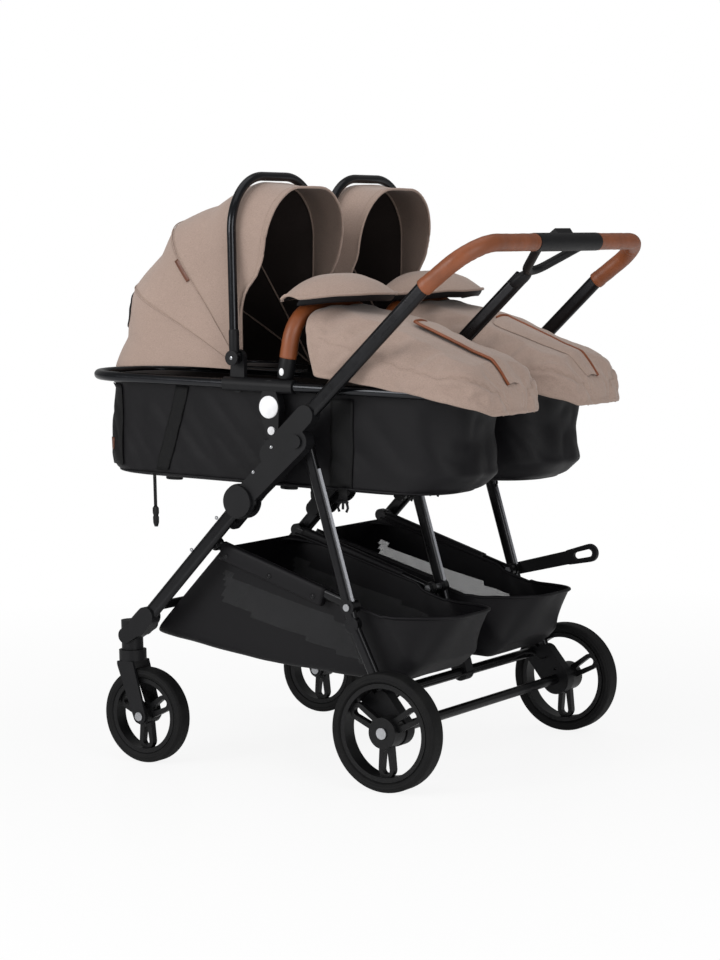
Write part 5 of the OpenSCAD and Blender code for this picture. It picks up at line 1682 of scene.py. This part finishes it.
HUB_FACE = 0.150
PALE_DISC = [(-0.001, 0.0222), (0.0008, 0.0222), (0.0016, 0.0216), (0.0021, 0.0190), (0.0022, 0.004)]
BOW_FACE = 0.1600
PIVOT_CAP = [(-0.001, 0.0150), (0.0022, 0.0150), (0.0030, 0.0142), (0.0030, 0.0085), (0.0022, 0.0078),
             (0.0022, 0.002)]
PIVOT_SCREW = [(0.0015, 0.0040), (0.0028, 0.0040), (0.0034, 0.0032), (0.0034, 0.0008)]
BUTTON = [(-0.002, 0.0074), (0.0002, 0.0074), (0.0008, 0.0062), (0.0010, 0.002)]
BOW_HALF = 0.151
COLLAR = [(0.010, 0.0096), (0.014, 0.0104), (0.050, 0.0104), (0.054, 0.0101), (0.056, 0.0092)]


def bow_point(sign, h):
    lean = math.radians(BOW_LEAN)
    return Vector((sign * BOW_HALF, HOOD_PIVOT[0] - h * math.sin(lean), HOOD_PIVOT[1] + h * math.cos(lean)))


def bow_collar(sign):
    line = [bow_point(sign, h) for h, radius in COLLAR]
    return carry(line, stepped([ring(radius, 24) for h, radius in COLLAR]), (1, 0, 0))


def at_pivot(profile):
    return both_flanks(lambda sign: turned((sign * BOW_FACE, *HOOD_PIVOT), (sign, 0, 0), profile))


button_at = bumper_point(BUMPER_HALF, 0.015) + Vector((BUMPER_R - 0.0002, 0, 0))
hub_disc = turned((HUB_FACE, HUB.y, HUB.z), (1, 0, 0), PALE_DISC)
bumper_button = turned(button_at, (1, 0, 0), BUTTON, flat=0.72)
TRIM = [
    ("hub_disc", "carrycot", hub_disc, PALE_PLASTIC, "pale_plastic"),
    ("pivot_cap", "hood", at_pivot(PIVOT_CAP), BLACK_PLASTIC, "black_plastic"),
    ("pivot_screw", "hood", at_pivot(PIVOT_SCREW), STEEL, "steel"),
    ("bow_collar", "hood", both_flanks(bow_collar), BLACK_PLASTIC, "black_plastic"),
    ("bumper_button", "cover", bumper_button, PALE_PLASTIC, "pale_plastic"),
]
for name, body, skin, finish, slot in TRIM:
    for piece in on_cots(name, body, *skin, finish, slot):
        if finish is not STEEL:
            bevel(piece, 0.0003)
print("turned trim:", len(TRIM), "kinds")

# %% [markdown]
# ## Chassis trim
# The rear legs carry a bright ribbed strip down their backs, rivets hold the hinge parts, and the
# baskets hang on cloth sleeves that snap round the link rails. The strip is one toothed section carried
# down the leg; rivets and snaps are set by the rivet tree.

# %% Leg strips and rivets
LEG_TOP = Vector((0, 0.082, 0.665))
LEG_BEND = Vector((0, 0.180, 0.311))
LEG_X = (0.3225, -0.3225, -0.0225)
LEG_HALF = 0.012
STRIP_TEETH = 5
STRIP_WIDTH = 0.0085
leg_way = (LEG_BEND - LEG_TOP).normalized()
leg_back = Vector((0, -leg_way.z, leg_way.y))


def toothed(width, low, high, teeth, tooth=0.0006):
    marks = 2 * teeth
    top = [(width * (k / marks - 0.5), high - tooth * (k % 2)) for k in range(marks + 1)]
    return top + [(width / 2, low), (-width / 2, low)]


strip_from = LEG_TOP + leg_way * 0.060 + leg_back * LEG_HALF
strip_to = LEG_BEND - leg_way * 0.030 + leg_back * LEG_HALF
strip_section = toothed(STRIP_WIDTH, -0.0022, 0.0006, STRIP_TEETH)
strips = []
for x in LEG_X:
    ends = [end + Vector((x, 0, 0)) for end in (strip_from, strip_to)]
    strips.append(carry(ends, strip_section, tuple(leg_back)))
fit(make_piece("leg_strips", *joined(*strips), SILVER, smooth=False), "rear_frame", "steel")

RIVETS_AT = {
    "handle_frame": [(0.3592, -0.0205, 0.6035), (0.3592, 0.0238, 0.6532)],
    "front_frame": [(0.3542, -0.1152, 0.5102), (0.3542, -0.1789, 0.4442)],
}
for body, places in RIVETS_AT.items():
    marks = [((sign * x, y, z), (sign, 0, 0)) for x, y, z in places for sign in (1, -1)]
    fit(rivet(f"rivets_{body}", marks), body, "steel")
print("leg strips and rivets")

# %% Link sleeves, snaps and basket binding
LINK_FRONT = Vector((0, -0.1497, 0.4525))
LINK_REAR = Vector((0, 0.1708, 0.3441))
LINK_X = (0.307, -0.307, 0.0215)
SLEEVE_SPAN = (0.05, 0.80)
SLEEVE_SIZE = (0.0095, 0.0190)
SLEEVE_DROP = 0.0075
SLEEVE_SIDES = 28
SNAP_DROP = 0.013
SNAP_SIZE = (0.011, 0.005)
RIM_R = 0.0034
SNAP_SHARES = (0.10, 0.42, 0.74)
link_way = (LINK_REAR - LINK_FRONT).normalized()
link_up = Vector((0, -link_way.z, link_way.y))


def sleeve_section(share):
    """A soft flat tube: squarish, and slack below the rail."""
    outline = []
    for k in range(SLEEVE_SIDES):
        turn = 2 * math.pi * k / SLEEVE_SIDES
        a, b = math.cos(turn), math.sin(turn)
        wave = 1 + 0.06 * lumps((share * 0.25, b * 0.02, 0.4), 0.03, 13)
        outline.append((SLEEVE_SIZE[0] * math.copysign(abs(a) ** 0.55, a),
                        SLEEVE_SIZE[1] * math.copysign(abs(b) ** 0.45, b) * (wave if b < 0 else 1)))
    return outline


def link_sleeve(x):
    ends = [LINK_FRONT.lerp(LINK_REAR, s) - link_up * SLEEVE_DROP + Vector((x, 0, 0)) for s in SLEEVE_SPAN]
    return carry(spaced(ends, 0.007), sleeve_section, tuple(link_up))


sleeves = make_piece("link_sleeves", *joined(*[link_sleeve(x) for x in LINK_X]), BLACK_CLOTH)
snap_marks = []
for x in LINK_X[:2]:
    out = math.copysign(1, x)
    for share in SNAP_SHARES:
        at = LINK_FRONT.lerp(LINK_REAR, share) - link_up * SNAP_DROP
        snap_marks.append(((x + out * SLEEVE_SIZE[0], at.y, at.z), (out, 0, 0)))
snaps = rivet("sleeve_snaps", snap_marks, BLACK_METAL, *SNAP_SIZE)
for piece, slot in ((sleeves, "black_fabric"), (snaps, "black_metal")):
    fit(piece, "side_links", slot)

rim_line = [bag_points[k * BASKET_COLUMNS] for k in range(len(low_line))]
rim_line += bag_points[-BASKET_COLUMNS + 1:]
rim_line += [bag_points[(k + 1) * BASKET_COLUMNS - 1] for k in range(len(low_line) - 2, -1, -1)]
bound = carry(spaced(rim_line, 0.008), ring(RIM_R, 8), (0.05, 0.3, 1))
for side, sign in SIDES.items():
    placed = [(sign * p[0], p[1], p[2]) for p in bound[0]]
    fit(make_piece(f"basket_binding_{side}", placed, bound[1], BLACK_CLOTH), "front_frame", "black_fabric")
print("link sleeves:", len(LINK_X), "with", len(snap_marks), "snaps")

# %% [markdown]
# ## Studio
# The photograph stands on white with only a breath of shadow. The floor is a pale sheet whose camera
# rays are part light of their own, more so away from the pram, so it reaches white without more lamp
# light on the pram. The world is white to the camera, softer as a light, and dim in reflections, so that
# the black tubes stay black and only the lamps glint on them.

# %% Floor, world and lamps
FLOOR_REACH = 60.0
FLOOR_NEAR = 0.88
AMBIENT = 0.62
REFLECTED = 0.24

bpy.context.scene.view_settings.view_transform = "Standard"


def sent_by(wire, kind):
    """1 for rays of one kind, such as those that the camera sends out."""
    path = wire.tree.nodes.new("ShaderNodeLightPath")
    return Wire(wire.tree, path.outputs[f"Is {kind} Ray"])


def floor_finish():
    finish, place = new_finish("floor")
    tree = finish.node_tree
    shader = tree.nodes["Principled BSDF"]
    shader.inputs["Base Color"].default_value = paint(246, 246, 246)
    shader.inputs["Roughness"].default_value = 0.3
    away = place.make("ShaderNodeVectorMath", {"operation": "LENGTH"}, {0: place}, out=1)
    share = sent_by(place, "Camera") * (away.clipped(0.8, 2.6) * (1 - FLOOR_NEAR) + FLOOR_NEAR)
    glow = tree.nodes.new("ShaderNodeEmission")
    blend = tree.nodes.new("ShaderNodeMixShader")
    tree.links.new(share.socket, blend.inputs[0])
    tree.links.new(shader.outputs[0], blend.inputs[1])
    tree.links.new(glow.outputs[0], blend.inputs[2])
    tree.links.new(blend.outputs[0], tree.nodes["Material Output"].inputs["Surface"])
    return finish


floor_mesh = bpy.data.meshes.new("floor")
edge = FLOOR_REACH / 2
corners = [(sx * edge, sy * edge, 0) for sx, sy in ((-1, -1), (1, -1), (1, 1), (-1, 1))]
floor_mesh.from_pydata(corners, [], [(0, 1, 2, 3)])
floor = bpy.data.objects.new("floor", floor_mesh)
floor_mesh.materials.append(floor_finish())
bpy.context.scene.collection.objects.link(floor)

world = bpy.data.worlds.new("studio")
world.use_nodes = True
bpy.context.scene.world = world
sky = world.node_tree.nodes["Background"]
sky.inputs["Color"].default_value = (1, 1, 1, 1)
sky_wire = Wire(world.node_tree, None)
seen_level = sent_by(sky_wire, "Camera") * (1 - AMBIENT)
mirrored_level = sent_by(sky_wire, "Glossy") * (REFLECTED - AMBIENT)
sky_level = seen_level + mirrored_level + AMBIENT
world.node_tree.links.new(sky_level.socket, sky.inputs["Strength"])


def lamp(name, place, target, size, power):
    """A square lamp that looks at a target."""
    data = bpy.data.lights.new(name, "AREA")
    data.size = size
    data.energy = power
    item = bpy.data.objects.new(name, data)
    item.location = place
    item.rotation_euler = (Vector(target) - Vector(place)).to_track_quat("-Z", "Y").to_euler()
    bpy.context.scene.collection.objects.link(item)


lamp("overhead", (0.4, 0.2, 3.6), (0, 0, 0.6), 3.0, 26)
lamp("key", (3.6, -1.4, 2.0), (0, 0, 0.7), 1.8, 72)
lamp("fill", (2.4, 4.0, 1.6), (0, 0, 0.6), 2.2, 58)
print("studio lit")
